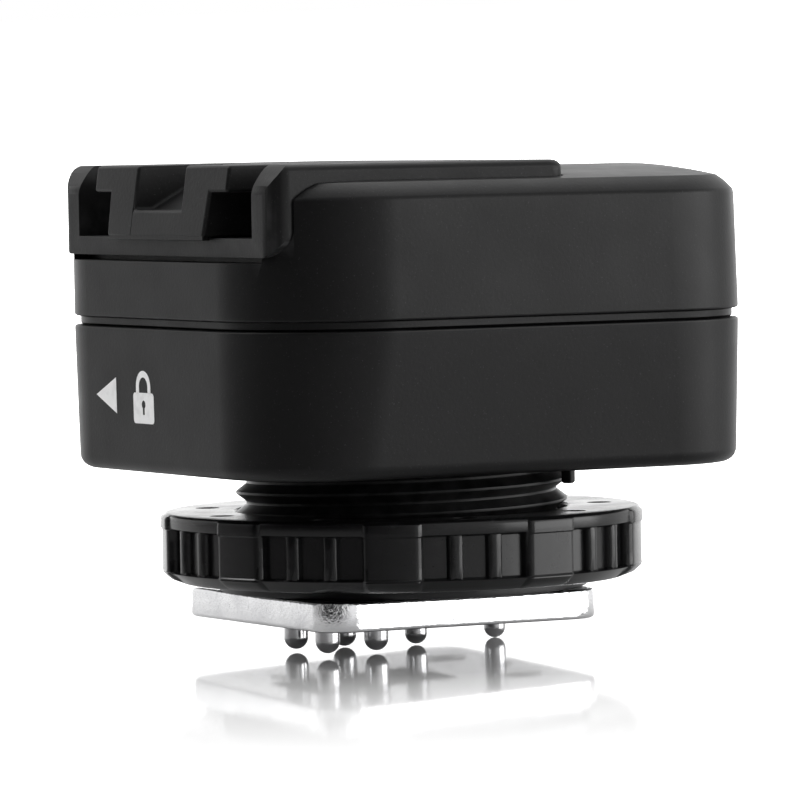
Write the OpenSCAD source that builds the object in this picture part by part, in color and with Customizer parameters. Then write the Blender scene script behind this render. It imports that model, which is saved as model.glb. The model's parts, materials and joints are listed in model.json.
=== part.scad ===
// Compact pass-through flash trigger with a screw-locked shoe foot.
// Frame: the origin is on the foot's axis at its underside, +Z is up,
// -Y is the rear (the side that faces the photographer).

/* [Body] */
// Width of the body, across the foot
body_w = 31.5; // [31:0.1:36]
// Length of the body, along the shoe
body_l = 32.5; // [32:0.1:38]
// How far the body's centre lies in front of the foot's axis
body_forward = 0.35; // [0:0.05:0.6]
// Height of the body's underside above the foot's underside
body_z = 8.9; // [8.8:0.1:11]
// Height of the lower case
lower_h = 8.2; // [8.2:0.1:10]
// Height of the upper case's straight side, above the parting line
upper_side_h = 7.2; // [7:0.1:9]
// Radius of the body's upright corners
corner_r = 7.5; // [6.5:0.1:8]
// Wall thickness of both cases
wall = 1.5; // [1.2:0.1:1.6]
// Thickness of the lower case's floor
floor_t = 2.2; // [2.2:0.1:2.6]
// How far each long side leans in towards the bottom
side_draft = 0.9; // [0.2:0.1:1]
// How far each end leans in towards the bottom
end_draft = 0.1; // [0:0.05:0.3]
// Radius of the edge round the underside
bottom_edge_r = 0.8; // [0.3:0.1:1]
// Height of the shadow groove over the parting line
groove_h = 0.5; // [0.3:0.1:0.8]
// Depth of the shadow groove
groove_d = 0.33; // [0.1:0.01:0.5]
// Height of the bevel round the top
bevel_h = 0.9; // [0.5:0.1:1.2]
// Inward run of the bevel round the top
bevel_run = 1; // [0.5:0.1:1.3]
// Rise of the crowned top above the bevel
crown_h = 0.67; // [0.3:0.01:0.9]
// How far the front end leans in towards the top
front_lean = 0.2; // [0:0.1:0.9]

/* [Top shoe] */
// Width of the pocket for the flash's foot
pocket_w = 21.6; // [21:0.1:22]
// Thickness of the insert's side walls
insert_wall = 2.6; // [2.4:0.1:2.7]
// Height of the pocket's floor above the parting line
pocket_z = 5.1; // [5:0.1:5.4]
// Thickness of the insert's floor
insert_floor = 1.05; // [0.9:0.05:1.2]
// Distance from the body's rear face to the insert's rear face
insert_setback = 0.9; // [0.6:0.1:1.2]
// Distance from the foot's axis to the insert's front edge
insert_front = 3.7; // [3.4:0.1:3.9]
// Thickness of the insert's top plate
cap_t = 1; // [0.7:0.1:1.1]
// Total width of the rail's flanges
rail_w = 17; // [16.4:0.1:17.2]
// Thickness of the rail's flanges
rail_flange_t = 1.5; // [1.2:0.05:1.6]
// Width of the rail's web
rail_web_w = 12.6; // [12:0.1:13]
// Width of the latch notch in the rail's rear end
notch_w = 6.2; // [5:0.1:6.4]
// Depth of the latch notch
notch_d = 2.5; // [1.8:0.1:2.6]
// How far the rail stands out of the tray's rear end
rail_reach = 0.7; // [0.1:0.1:0.8]

/* [Foot] */
// Width of the foot plate
plate_w = 18.6; // [18.4:0.05:18.7]
// Length of the foot plate
plate_l = 18; // [17.8:0.1:18.4]
// Distance from the foot's axis to the plate's rear edge
plate_back = 9.8; // [9.6:0.1:10]
// Thickness of the foot plate
plate_t = 1.7; // [1.5:0.1:2]
// Corner radius of the foot plate
plate_r = 2; // [1:0.1:2.5]
// Width of the neck that passes between the camera shoe's rails
neck_w = 12.2; // [12:0.1:12.4]
// Diameter of the four rear contact pins
pin_d = 1.4; // [1.2:0.05:1.5]
// Diameter of the centre contact pin
centre_pin_d = 1.3; // [1.2:0.05:1.6]
// Reach of the contact pins below the foot plate
pin_reach = 1.73; // [1.4:0.01:1.9]
// Travel of the contact pins
pin_travel = 1.2; // [0.8:0.1:1.3]
// Side spacing of the contact pins
pin_pitch_x = 3.9; // [3.7:0.05:4]
// Distance of the rearmost pair from the axis
rear_pair_y = 6; // [5.8:0.1:6.2]
// Distance of the second pair from the axis
front_pair_y = 2.86; // [2.7:0.02:2.95]
// Distance of the centre pin in front of the axis
centre_pin_y = 0.79; // [0.6:0.01:0.9]
// Diameter of the lock pin's free end
lock_pin_d = 1.25; // [1:0.05:1.4]
// Reach of the lock pin below the foot plate
lock_pin_reach = 1.58; // [1.4:0.01:1.8]
// Distance of the lock pin in front of the axis
lock_pin_y = 6; // [5.9:0.05:6.1]

/* [Lock ring] */
// Outer diameter over the grip pads
ring_d = 27.9; // [26:0.1:29]
// Height of the lock ring
ring_h = 4.02; // [3.8:0.02:4.4]
// Number of grip pads
pads = 9; // [6:1:12]
// Angle covered by each grip pad
pad_angle = 14.5; // [8:0.5:18]
// Thickness of the pressure plate under the ring
pressure_t = 0.5; // [0.4:0.05:0.6]
// Diameter over the thread's crests
thread_d = 19.1; // [18.8:0.1:19.4]
// Depth of the thread
thread_depth = 0.6; // [0.4:0.05:0.7]
// Pitch of the thread
thread_pitch = 1.2; // [1:0.1:1.5]
// Upward travel of the ring
ring_travel = 1.4; // [1:0.1:1.6]

/* [Battery] */
// Diameter of the coin cell
cell_d = 20; // [19.5:0.1:20]
// Thickness of the coin cell
cell_t = 3.2; // [2:0.1:3.2]
// Thickness of the drawer's floor
drawer_floor = 0.6; // [0.5:0.1:0.8]
// Thickness of the drawer's side walls
drawer_wall = 0.8; // [0.6:0.1:0.9]

/* [Controls] */
// Diameter of the test button
button_d = 3.2; // [2.6:0.1:3.4]
// Travel of the test button
button_travel = 0.5; // [0.3:0.1:0.6]
// Travel of the power switch
switch_travel = 2; // [1.5:0.1:2.2]
// Diameter of the status lamp's light pipe
lamp_d = 1.8; // [1.4:0.1:2.2]

/* [Hidden] */

$fn = 64;
eps = 0.01;          // overshoot of a cut past a face
slice_t = 0.05;      // thickness of a slice inside a hull
fit = 0.05;          // radial running clearance
seat = 0.02;         // clearance between pieces that seat on each other
slack = 0.15;        // clearance round a piece that slides or drops in

// Body levels and outline
part_z = body_z + lower_h;
inner_floor = body_z + floor_t;
bevel_z = part_z + upper_side_h;
cap_seat_z = bevel_z + bevel_h;
rear_y = body_forward - body_l / 2;
front_y = body_forward + body_l / 2;
side_x = body_w / 2;
crown_steps = 8;
inner_x = side_x - wall;
inner_r = corner_r - wall;
corner_x = side_x - corner_r;
corner_front_y = front_y - corner_r;
lip_t = 0.6;
lip_h = 1;
lip_z = part_z - lip_h;
hook_l = 3;
hook_out = 0.3;

// Foot, neck and post
plate_front = plate_l - plate_back;
pin_x = pin_pitch_x / 2;
head_d = pin_d + 0.6;
head_t = 0.5;
head_z = plate_t + 0.3;
block_wall = 0.25;
block_half = pin_x + head_d / 2 + fit + block_wall;
window_half = block_half - 0.35;
block_back = rear_pair_y + head_d / 2 + fit + block_wall;
block_front = centre_pin_y + head_d / 2 + fit + block_wall - 0.2;
board_z = head_z + head_t + 1.3 + pin_travel;
board_t = 0.8;
crest_r = thread_d / 2;
root_r = crest_r - thread_depth;
neck_back = block_back + 0.6;
neck_front = lock_pin_y + 0.6;
neck_r = root_r - fit;
neck_top = plate_t + pressure_t + ring_travel + 0.3;
bore_wall = 1.35;
post_bore_r = root_r - bore_wall;
foot_screw_x = block_half + 0.45 + 0.8;
foot_screw_y = 5;
screw_head_r = 1.3;
screw_r = 0.8;
flange_r = root_r + wall;
flange_w = 15.6;
flange_t = 1;
flange_z = inner_floor;
flange_l = 2 * (-rear_y - wall - end_draft - 1.3);
post_screw_x = flange_w / 2 - 1.8;
post_screw_y = flange_l / 2 - 2;
tongue_w = 2.8;
lock_body_r = lock_pin_d / 2 + 0.2;
lock_head_r = lock_body_r + 0.25;

// Ring and pressure plate
thrust = 0.03;
pressure_z = plate_t + seat;
pressure_top = pressure_z + pressure_t;
ring_z = pressure_top + thrust;
ring_top = ring_z + ring_h;
ring_r = ring_d / 2;
band_r = ring_r - 0.2;
flute_r = band_r - 0.55;
ring_foot_r = ring_r - 1.05;
bottom_band_h = 0.7;
top_band_h = 0.84;
bore_r = crest_r + fit;
collar_in_r = crest_r + 0.2;
collar_r = collar_in_r + 0.4;
snap_r = collar_r + 0.25;
collar_h = 0.9;
snap_h = 0.3;
pressure_r = snap_r + 0.2;
rib_angle = 4;
rib_offset = 4.9;
first_pad = 9.3;
pad_step = 360 / pads;
dimple_r = (bore_r + ring_foot_r) / 2;
stop_angle = 38.5;
stop_in_r = crest_r + 0.2;
stop_out_r = stop_in_r + 0.95;
stop_w = 1.6;
stop_z = ring_top + ring_travel + fit;

// Shoe insert and rail
pocket_floor_z = part_z + pocket_z;
insert_z = pocket_floor_z - insert_floor;
ledge_drop = 0.3;
shelf_t = 1;
shelf_z = insert_z - shelf_t;
insert_half = pocket_w / 2 + insert_wall;
insert_rear = rear_y + insert_setback;
insert_end_wall = 1.3;
pocket_front = insert_front - 3.9;
tray_front = pocket_front + insert_end_wall - 0.4;
cap_top = cap_seat_z + cap_t + 0.05;
rail_top = cap_top;
rail_front = pocket_front - 0.1;
rail_rear = insert_rear - rail_reach;
rail_lip = 0.15;
rail_base_w = rail_web_w - 0.4;
notch_flat = 1.4;
notch_run = 4.6;
rear_bevel = 1;
rail_bevel = 0.3;
closing_wall = 1.2;
contact_slots = 4;
slot_pitch = 2.6;
slot_w = 1.3;
slot_l = 4.2;

// Boards and what they carry
main_z = part_z + 0.2;
main_t = 1;
main_top = main_z + main_t;
main_gap = 0.75;
main_half = inner_x - main_gap;
main_r = inner_r - main_gap;
board_boss_r = 1.4;
board_screw_head = 0.6;
side_boss = [side_x - 3.75, -5];
front_boss = [corner_x + 2.75, corner_front_y + 3.1];
case_screw = [pocket_w / 2 + 0.9, rear_y + 5.75];
case_boss_r = 2;
case_head_r = 1.6;
insert_screw = [pocket_w / 2 + 0.9, tray_front - 1.5];
ceiling_z = cap_seat_z - wall + 0.4;
up_y = rear_y + wall + lip_t + 2;
cap_r = 2;
cap_y = front_y - 4.6;
cap_x = [front_boss.x - board_boss_r - 0.4 - cap_r, front_boss.x - board_boss_r - 1.2 - 3 * cap_r];
chip_y = cap_y - cap_r - 4.2;
antenna_x = 2 - front_boss.x;

// Battery drawer
cell_r = cell_d / 2;
cell_y = 1.5;
drawer_r = cell_r + slack;
drawer_half = drawer_r + drawer_wall;
rail_gap = 0.1;
flex_t = 0.2;
drawer_z = flange_z + flange_t + 0.63;
cell_z = drawer_z + drawer_floor + seat;
cell_top = cell_z + cell_t;
drawer_side_h = 2.65;
drawer_face_half = drawer_half + 0.05;
drawer_face_top = part_z - 0.12;
side_window = 2.2;

// Controls on the left side
switch_y = 2.3;
switch_x = 0.8 - main_half;
switch_z = main_top + 0.95;
switch_stem = [2.4, 0.7];
switch_h = 1.75;
button_y = 7.6;
button_z = main_top + 2.45;
button_flange = 0.25;
button_proud = 0.4;
actuator_r = 0.6;
actuator_in = 0.4;
switch_front = 1.4;
lamp = [-6, 9.2];

// Plan shapes -----------------------------------------------------------

// Rounded rectangle between two corners
module plan(x0, y0, x1, y1, r) {
    translate([x0 + r, y0]) square([x1 - x0 - 2 * r, y1 - y0]);
    translate([x0, y0 + r]) square([x1 - x0, y1 - y0 - 2 * r]);
    for (x = [x0 + r, x1 - r], y = [y0 + r, y1 - r])
        translate([x, y]) circle(r);
}

// The body's outline, drawn in by dx at the sides and dy at the ends
module outline(dx, dy, lean = 0) {
    r = max(corner_r - max(dx, dy), 0.6);
    plan(dx - side_x, rear_y + dy, side_x - dx, front_y - dy - lean, r);
}

// A thin slice of the body's outline at a height, for hulls
module slice(z, dx, dy, lean = 0) {
    translate([0, 0, z]) linear_extrude(slice_t) outline(dx, dy, lean, $fn = 32);
}

// A copy on each side of the body
module both_sides() {
    children();
    mirror([1, 0, 0]) children();
}

// Shell solids ----------------------------------------------------------

// Outer form of the lower case: drafted sides and a rounded underside
module lower_form() {
    hull() {
        slice(part_z - slice_t, 0, 0);
        for (a = [0:22.5:90]) {
            inset = bottom_edge_r * (1 - sin(a));
            slice(body_z + bottom_edge_r * (1 - cos(a)), side_draft + inset, end_draft + inset);
        }
    }
}

// Height of the crowned top over a point, between its straight sides
function crown_z(x) = cap_seat_z + crown_h * (1 - pow(x / (side_x - bevel_run), 2));

// Outer form of the upper case: straight side, bevel and a top arched from side to side
module upper_form() {
    hull() {
        slice(part_z + groove_h, 0, 0);
        slice(bevel_z - slice_t, 0, 0, front_lean);
        for (i = [0:crown_steps]) {
            s = max(cos(90 * i / crown_steps), 0.01);
            scale([s, 1, 1]) slice(cap_seat_z + crown_h * (1 - s * s) - slice_t,
                bevel_run, bevel_run, front_lean);
        }
    }
}

// Countersunk screw pointing up, with its head's flat face at z = 0
module flat_screw(head_r, shank_r, length) {
    head_h = head_r - shank_r;
    difference() {
        union() {
            cylinder(r1 = head_r, r2 = shank_r, h = head_h);
            cylinder(r = shank_r, h = length);
        }
        for (a = [0, 90]) rotate(a)
            translate([-head_r * 0.55, -0.12, -eps]) cube([head_r * 1.1, 0.24, head_h * 0.6]);
    }
}

// Room for a countersunk screw
module flat_screw_hole(head_r, shank_r, length) {
    translate([0, 0, -eps]) cylinder(r = head_r + seat, h = eps + seat);
    translate([0, 0, seat]) cylinder(r1 = head_r + seat, r2 = shank_r + seat, h = head_r - shank_r);
    cylinder(r = shank_r + seat, h = length + 0.2);
}

// Pan-head screw pointing up, with its head's bearing face at z = 0
module pan_screw(head_r, head_h, shank_r, length) {
    difference() {
        union() {
            translate([0, 0, -head_h]) cylinder(r = head_r, h = head_h);
            cylinder(r = shank_r, h = length);
        }
        for (a = [0, 90]) rotate(a)
            translate([-head_r * 0.6, -0.15, -head_h - eps])
                cube([head_r * 1.2, 0.3, head_h * 0.55 + eps]);
    }
}

// Coil spring of round wire, standing on z = 0
module coil(coil_r, wire_r, turns, height, steps = 9, sides = 5) {
    rings = round(turns * steps);
    pts = [for (i = [0:rings], j = [0:sides - 1])
        let (a = 360 * i / steps, b = 360 * j / sides, r = coil_r + wire_r * cos(b))
        [r * cos(a), r * sin(a), wire_r + (height - 2 * wire_r) * i / rings + wire_r * sin(b)]];
    skin = [for (i = [0:rings - 1], j = [0:sides - 1])
        let (k = (j + 1) % sides)
        [i * sides + j, i * sides + k, (i + 1) * sides + k, (i + 1) * sides + j]];
    near = [[for (j = [sides - 1:-1:0]) j]];
    far = [[for (j = [0:sides - 1]) rings * sides + j]];
    polyhedron(pts, concat(skin, near, far), convexity = 10);
}

// Foot --------------------------------------------------------------------

module at_foot_screws() {
    for (x = [-foot_screw_x, foot_screw_x], y = [-foot_screw_y, foot_screw_y])
        translate([x, y, 0]) children();
}

module foot_plate() {
    color("silver") difference() {
        linear_extrude(plate_t)
            plan(-plate_w / 2, -plate_back, plate_w / 2, plate_front, plate_r);
        translate([-window_half - seat, -block_back - seat, -eps])
            cube([2 * (window_half + seat), block_back + block_front + 2 * seat, plate_t + 2 * eps]);
        translate([0, lock_pin_y, -eps]) cylinder(r = lock_body_r + slack, h = plate_t + 2 * eps);
        at_foot_screws() flat_screw_hole(screw_head_r, screw_r, plate_t + 1);
    }
}

module plate_screws() {
    color("lightgray") at_foot_screws() flat_screw(screw_head_r, screw_r, board_z - 0.5);
}

// The stepped bore that guides a contact pin
module pin_bore(d) {
    translate([0, 0, -eps]) cylinder(d = d + 2 * fit, h = head_z + 2 * eps);
    translate([0, 0, head_z]) cylinder(d = head_d + 2 * fit, h = board_z);
}

module at_data_pins() {
    for (x = [-pin_x, pin_x], y = [-rear_pair_y, -front_pair_y])
        translate([x, y, 0]) children();
}

module contact_block() {
    color("#1b1b1d") difference() {
        union() {
            translate([-window_half, -block_back, 0])
                cube([2 * window_half, block_back + block_front, board_z - seat]);
            translate([-block_half, -block_back, plate_t + seat])
                cube([2 * block_half, block_back + block_front, board_z - plate_t - 2 * seat]);
        }
        at_data_pins() pin_bore(pin_d);
        translate([0, centre_pin_y, 0]) pin_bore(centre_pin_d);
    }
}

// Domed contact pin with a retaining head and a stub inside its spring
module contact_pin(d, reach) {
    color("gainsboro") rotate_extrude() {
        translate([0, -reach + d / 2]) intersection() {
            circle(d = d);
            translate([0, -d / 2]) square([d / 2, d / 2]);
        }
        translate([0, -reach + d / 2]) square([d / 2, head_z + reach - d / 2 + 2 * seat]);
        translate([0, head_z + seat]) square([head_d / 2, head_t]);
        translate([0, head_z + head_t]) square([0.35, 0.9]);
    }
}

module contact_spring() {
    color("goldenrod") translate([0, 0, head_z + head_t + 2 * seat])
        coil(0.6, 0.09, 4.5, board_z - head_z - head_t - 4 * seat);
}

module sync_contact() { translate([0, centre_pin_y, 0]) contact_pin(centre_pin_d, pin_reach - 0.06); }
module data_contact_a() { translate([-pin_x, -rear_pair_y, 0]) contact_pin(pin_d, pin_reach); }
module data_contact_b() { translate([pin_x, -rear_pair_y, 0]) contact_pin(pin_d, pin_reach); }
module data_contact_c() { translate([-pin_x, -front_pair_y, 0]) contact_pin(pin_d, pin_reach); }
module data_contact_d() { translate([pin_x, -front_pair_y, 0]) contact_pin(pin_d, pin_reach); }

module sync_spring() { translate([0, centre_pin_y, 0]) contact_spring(); }
module data_spring_a() { translate([-pin_x, -rear_pair_y, 0]) contact_spring(); }
module data_spring_b() { translate([pin_x, -rear_pair_y, 0]) contact_spring(); }
module data_spring_c() { translate([-pin_x, -front_pair_y, 0]) contact_spring(); }
module data_spring_d() { translate([pin_x, -front_pair_y, 0]) contact_spring(); }

module foot_board() {
    color("seagreen") difference() {
        translate([0, 0, board_z]) cylinder(r = post_bore_r - slack, h = board_t);
        for (x = [-foot_screw_x, foot_screw_x]) translate([x, 0, 0])
            cylinder(r = 0.7, h = board_z + board_t + 1);
    }
}

module foot_board_screws() {
    color("lightgray") for (x = [-foot_screw_x, foot_screw_x])
        translate([x, 0, board_z + board_t + seat]) mirror([0, 0, 1])
            pan_screw(1.1, 0.6, 0.6, board_t + 2.3);
}

// Flat flex from the foot board, over the flange and up behind the drawer
module foot_flex() {
    low = board_z + board_t + seat;
    level = flange_z + flange_t + 0.1;
    in_y = -post_bore_r + 1.2;
    top = main_z - 1.2;
    color("peru") rotate([90, 0, 90]) translate([0, 0, -3]) linear_extrude(6) polygon([
        [in_y + 2, low], [in_y + 2, low + flex_t], [in_y + flex_t, low + flex_t],
        [in_y + flex_t, level + flex_t], [up_y + flex_t, level + flex_t], [up_y + flex_t, top],
        [up_y, top], [up_y, level], [in_y, level], [in_y, low]]);
}

// Post --------------------------------------------------------------------

module neck_plan(gap) {
    intersection() {
        circle(r = neck_r + gap);
        translate([-neck_w / 2 - gap, -neck_back - gap])
            square([neck_w + 2 * gap, neck_back + neck_front + 2 * gap]);
    }
}

// Half profile of the threaded length, ridge by ridge
module thread_profile() {
    length = body_z - neck_top;
    turns = floor(length / thread_pitch);
    start = body_z - turns * thread_pitch;
    ridges = [for (i = [0:turns - 1], p = [[0, 0.06], [1, 0.44], [1, 0.56], [0, 0.94]])
        [root_r + thread_depth * p[0], start + (i + p[1]) * thread_pitch]];
    polygon(concat([[0, neck_top], [root_r, neck_top]], ridges,
        [[root_r, flange_z + flange_t], [0, flange_z + flange_t]]));
}

module at_post_screws() {
    for (x = [-post_screw_x, post_screw_x], y = [-post_screw_y, post_screw_y])
        translate([x, y, flange_z + flange_t]) mirror([0, 0, 1]) children();
}

module threaded_post() {
    color("#161618") difference() {
        union() {
            rotate_extrude() thread_profile();
            translate([0, 0, plate_t]) linear_extrude(neck_top - plate_t + eps) neck_plan(0);
            translate([0, 0, flange_z]) linear_extrude(flange_t) {
                circle(r = flange_r);
                plan(-flange_w / 2, -flange_l / 2, flange_w / 2, flange_l / 2, 2);
            }
        }
        translate([0, 0, board_z]) cylinder(r = post_bore_r, h = flange_z);
        translate([-block_half - seat, -block_back - seat, plate_t - eps])
            cube([2 * (block_half + seat), block_back + block_front + 2 * seat, board_z]);
        translate([-tongue_w / 2 - slack, lock_pin_y - 1.25, plate_t - eps])
            cube([tongue_w + 2 * slack, neck_r, neck_top - plate_t + 0.45]);
        at_foot_screws() translate([0, 0, plate_t - eps])
            cylinder(r = screw_r + seat, h = board_z - plate_t - 0.3);
        for (x = [-foot_screw_x, foot_screw_x]) translate([x, 0, board_z - 2.6])
            cylinder(r = 0.6 + seat, h = 3);
        at_post_screws() flat_screw_hole(screw_head_r, screw_r, flange_t + 1);
    }
}

module post_screws() {
    color("dimgray") at_post_screws() flat_screw(screw_head_r, screw_r, flange_t + floor_t - 0.6);
}

// Lock ring ---------------------------------------------------------------

module pressure_plate() {
    color("#131314") {
        difference() {
            translate([0, 0, pressure_z]) cylinder(r = pressure_r, h = pressure_t);
            difference() {
                translate([0, 0, pressure_z - eps]) linear_extrude(pressure_t + 2 * eps)
                    neck_plan(slack);
                translate([-tongue_w / 2, lock_pin_y - 1.1, 0]) cube([tongue_w, neck_r, ring_top]);
            }
            translate([0, lock_pin_y, 0]) cylinder(r = lock_body_r + seat, h = ring_top);
        }
        rotate_extrude() {
            translate([collar_in_r, pressure_top - eps])
                square([collar_r - collar_in_r, collar_h + eps]);
            translate([collar_in_r, pressure_top + collar_h - snap_h])
                square([snap_r - collar_in_r, snap_h]);
        }
    }
}

// Lock pin, riveted into the pressure plate's tongue
module lock_pin() {
    color("gainsboro") translate([0, lock_pin_y, 0]) rotate_extrude() {
        translate([0, -lock_pin_reach + lock_pin_d / 2]) intersection() {
            circle(d = lock_pin_d);
            translate([0, -lock_pin_d / 2]) square([lock_pin_d / 2, lock_pin_d / 2]);
        }
        translate([0, -lock_pin_reach + lock_pin_d / 2])
            square([lock_pin_d / 2, lock_pin_reach - lock_pin_d / 2 + eps]);
        square([lock_body_r, pressure_top + 2 * seat]);
        translate([0, pressure_top + seat]) square([lock_head_r, 0.35]);
    }
}

// A block round the ring, centred on an angle
module ring_block(centre, span, r0, r1, z0, z1) {
    rotate(centre - span / 2) rotate_extrude(angle = span)
        translate([r0, z0]) square([r1 - r0, z1 - z0]);
}

module lock_ring() {
    flute_z = ring_z + bottom_band_h;
    flute_top = ring_top - top_band_h;
    color("#101012") difference() {
        union() {
            rotate_extrude() polygon([
                [bore_r, ring_z], [ring_foot_r, ring_z], [band_r, flute_z], [flute_r, flute_z],
                [flute_r, flute_top], [band_r, flute_top], [band_r, ring_top - 0.15],
                [band_r - 0.15, ring_top], [bore_r, ring_top]]);
            for (i = [0:pads - 1]) {
                pad = first_pad + i * pad_step;
                ring_block(pad, pad_angle, flute_r - 0.3, ring_r, flute_z - 0.05, ring_top - 0.1);
                for (side = [-1, 1])
                    ring_block(pad + pad_step / 2 + side * rib_offset, rib_angle,
                        flute_r - 0.3, band_r - 0.1, flute_z - 0.05, flute_top + 0.05);
            }
        }
        for (i = [0:pads - 1]) rotate(first_pad + (i + 0.5) * pad_step)
            translate([dimple_r, 0, ring_top - 0.2]) cylinder(r = 0.7, h = 1);
        rotate_extrude() {
            translate([bore_r - 1, ring_z - eps])
                square([collar_r + fit - bore_r + 1, collar_h + 0.1]);
            translate([bore_r - 1, pressure_top + collar_h - snap_h - fit])
                square([snap_r + fit - bore_r + 1, snap_h + 2 * fit + 0.05]);
        }
    }
}

// Cases -------------------------------------------------------------------

// The opening for the drawer in the lower case's front wall
module drawer_opening(gap) {
    translate([-drawer_face_half - gap, front_y - wall - 1, drawer_z - gap])
        cube([2 * (drawer_face_half + gap), wall + 2, part_z - drawer_z + gap + eps]);
}

module at_case_screws() {
    both_sides() translate([case_screw.x, case_screw.y, 0]) children();
}

module hook(gap) {
    both_sides() translate([inner_x - 0.3, corner_front_y - hook_l - gap, part_z - 0.8 - gap])
        cube([0.3 + hook_out + gap, hook_l + 2 * gap, 0.4 + 2 * gap]);
}

module lower_case() {
    guide_x = drawer_half + rail_gap;
    color("#1c1c1e") difference() {
        union() {
            difference() {
                lower_form();
                hull() {
                    slice(inner_floor, wall + side_draft, wall + end_draft);
                    slice(lip_z - 0.3, wall, wall);
                }
                translate([0, 0, lip_z - 0.3]) linear_extrude(lip_h + 1) outline(wall, wall);
            }
            intersection() {
                lower_form();
                union() {
                    at_case_screws() cylinder(r = case_boss_r, h = part_z - seat);
                    both_sides() {
                        translate([guide_x, -7.4, inner_floor - eps])
                            cube([0.8, 21, drawer_z + drawer_side_h - inner_floor]);
                        translate([guide_x - 0.9, -7.4, drawer_z - 0.4])
                            cube([1, 21, 0.4 - rail_gap]);
                    }
                }
            }
            rotate(stop_angle) translate([stop_in_r, -stop_w / 2, stop_z])
                cube([stop_out_r - stop_in_r, stop_w, body_z - stop_z + 0.3]);
        }
        translate([0, 0, body_z]) cylinder(r = root_r + slack, h = floor_t + 1);
        at_case_screws() {
            translate([0, 0, body_z - eps]) cylinder(r = case_head_r + slack, h = 1.6);
            cylinder(r = 0.9, h = part_z + 1);
        }
        at_post_screws() cylinder(r = screw_r + seat, h = flange_t + floor_t - 0.4);
        drawer_opening(slack / 2);
        hook(slack);
    }
}

module upper_case() {
    color("#202022") difference() {
        union() {
            difference() {
                union() {
                    upper_form();
                    translate([0, 0, part_z]) linear_extrude(groove_h + eps)
                        outline(groove_d, groove_d);
                }
                translate([0, 0, part_z - eps]) linear_extrude(shelf_z - part_z + eps)
                    outline(wall, wall);
                translate([0, 0, shelf_z - 1]) linear_extrude(ceiling_z - shelf_z + 1)
                    intersection() {
                        outline(wall, wall, front_lean);
                        translate([-side_x, tray_front + slack + closing_wall])
                            square([body_w, body_l]);
                    }
            }
            // Locating lip inside the lower case, open where the drawer passes
            difference() {
                union() {
                    translate([0, 0, lip_z]) linear_extrude(lip_h + lip_t) difference() {
                        outline(wall + 0.1, wall + 0.1);
                        outline(wall + lip_t, wall + lip_t);
                    }
                    translate([0, 0, part_z]) linear_extrude(lip_t) difference() {
                        outline(wall - 0.1, wall - 0.1);
                        outline(wall + 0.2, wall + 0.2);
                    }
                }
                translate([-drawer_half - 0.8, 0, 0]) cube([2 * drawer_half + 1.6, body_l, part_z + 1]);
                at_case_screws() cylinder(r = case_boss_r + slack, h = part_z);
            }
            intersection() {
                linear_extrude(ceiling_z + 0.2) outline(wall - 0.2, wall - 0.2, front_lean);
                union() {
                    both_sides() {
                        translate([case_screw.x, case_screw.y, part_z])
                            cylinder(r = case_boss_r, h = shelf_z - part_z + eps);
                        translate([side_boss.x, side_boss.y, main_top + seat])
                            cylinder(r = board_boss_r, h = shelf_z - main_top);
                        translate([front_boss.x, front_boss.y, main_top + seat])
                            cylinder(r = board_boss_r, h = ceiling_z - main_top);
                    }
                }
            }
            hook(0);
        }
        // Seat for the insert's tray, its top plate and the lowered ledge behind it
        translate([-insert_half - slack, rear_y - 1, insert_z - seat])
            cube([2 * (insert_half + slack), tray_front + slack - rear_y + 1, upper_side_h + 9]);
        translate([-insert_half - slack, rear_y - 1, insert_z - ledge_drop])
            cube([2 * (insert_half + slack), wall + 0.4 + 1, 1]);
        translate([-insert_half - slack, rear_y - 1, cap_seat_z - eps])
            cube([2 * (insert_half + slack), insert_front + slack / 2 - rear_y + 1, 3]);
        both_sides() {
            translate([case_screw.x, case_screw.y, part_z - 2]) cylinder(r = 0.9, h = 12);
            translate([insert_screw.x, insert_screw.y, shelf_z - eps])
                cylinder(r = 0.65, h = shelf_t + 1);
            translate([side_boss.x, side_boss.y, main_top - eps])
                cylinder(r = screw_r + seat, h = 1.9);
            translate([front_boss.x, front_boss.y, main_top - eps])
                cylinder(r = screw_r + seat, h = 3);
        }
        // Openings for the switch, the test button and the light pipe
        translate([-side_x - 1, switch_y - switch_stem.x / 2 - slack, switch_z - switch_stem.y / 2 - slack])
            cube([wall + 1.5, switch_stem.x + switch_travel + 2 * slack, switch_stem.y + 2 * slack]);
        translate([-side_x - 1, button_y, button_z]) rotate([0, 90, 0])
            cylinder(d = button_d + 2 * fit, h = wall + 1.5);
        translate([lamp.x, lamp.y, ceiling_z - 1]) cylinder(d = lamp_d + 2 * seat, h = 4);
    }
}

module case_screws() {
    length = insert_z + 2.6 - (body_z + 1.6);
    color("dimgray") at_case_screws() translate([0, 0, body_z + 1.6 - seat])
        pan_screw(case_head_r, 1, 0.85, length);
}

// Top shoe ----------------------------------------------------------------

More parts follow.
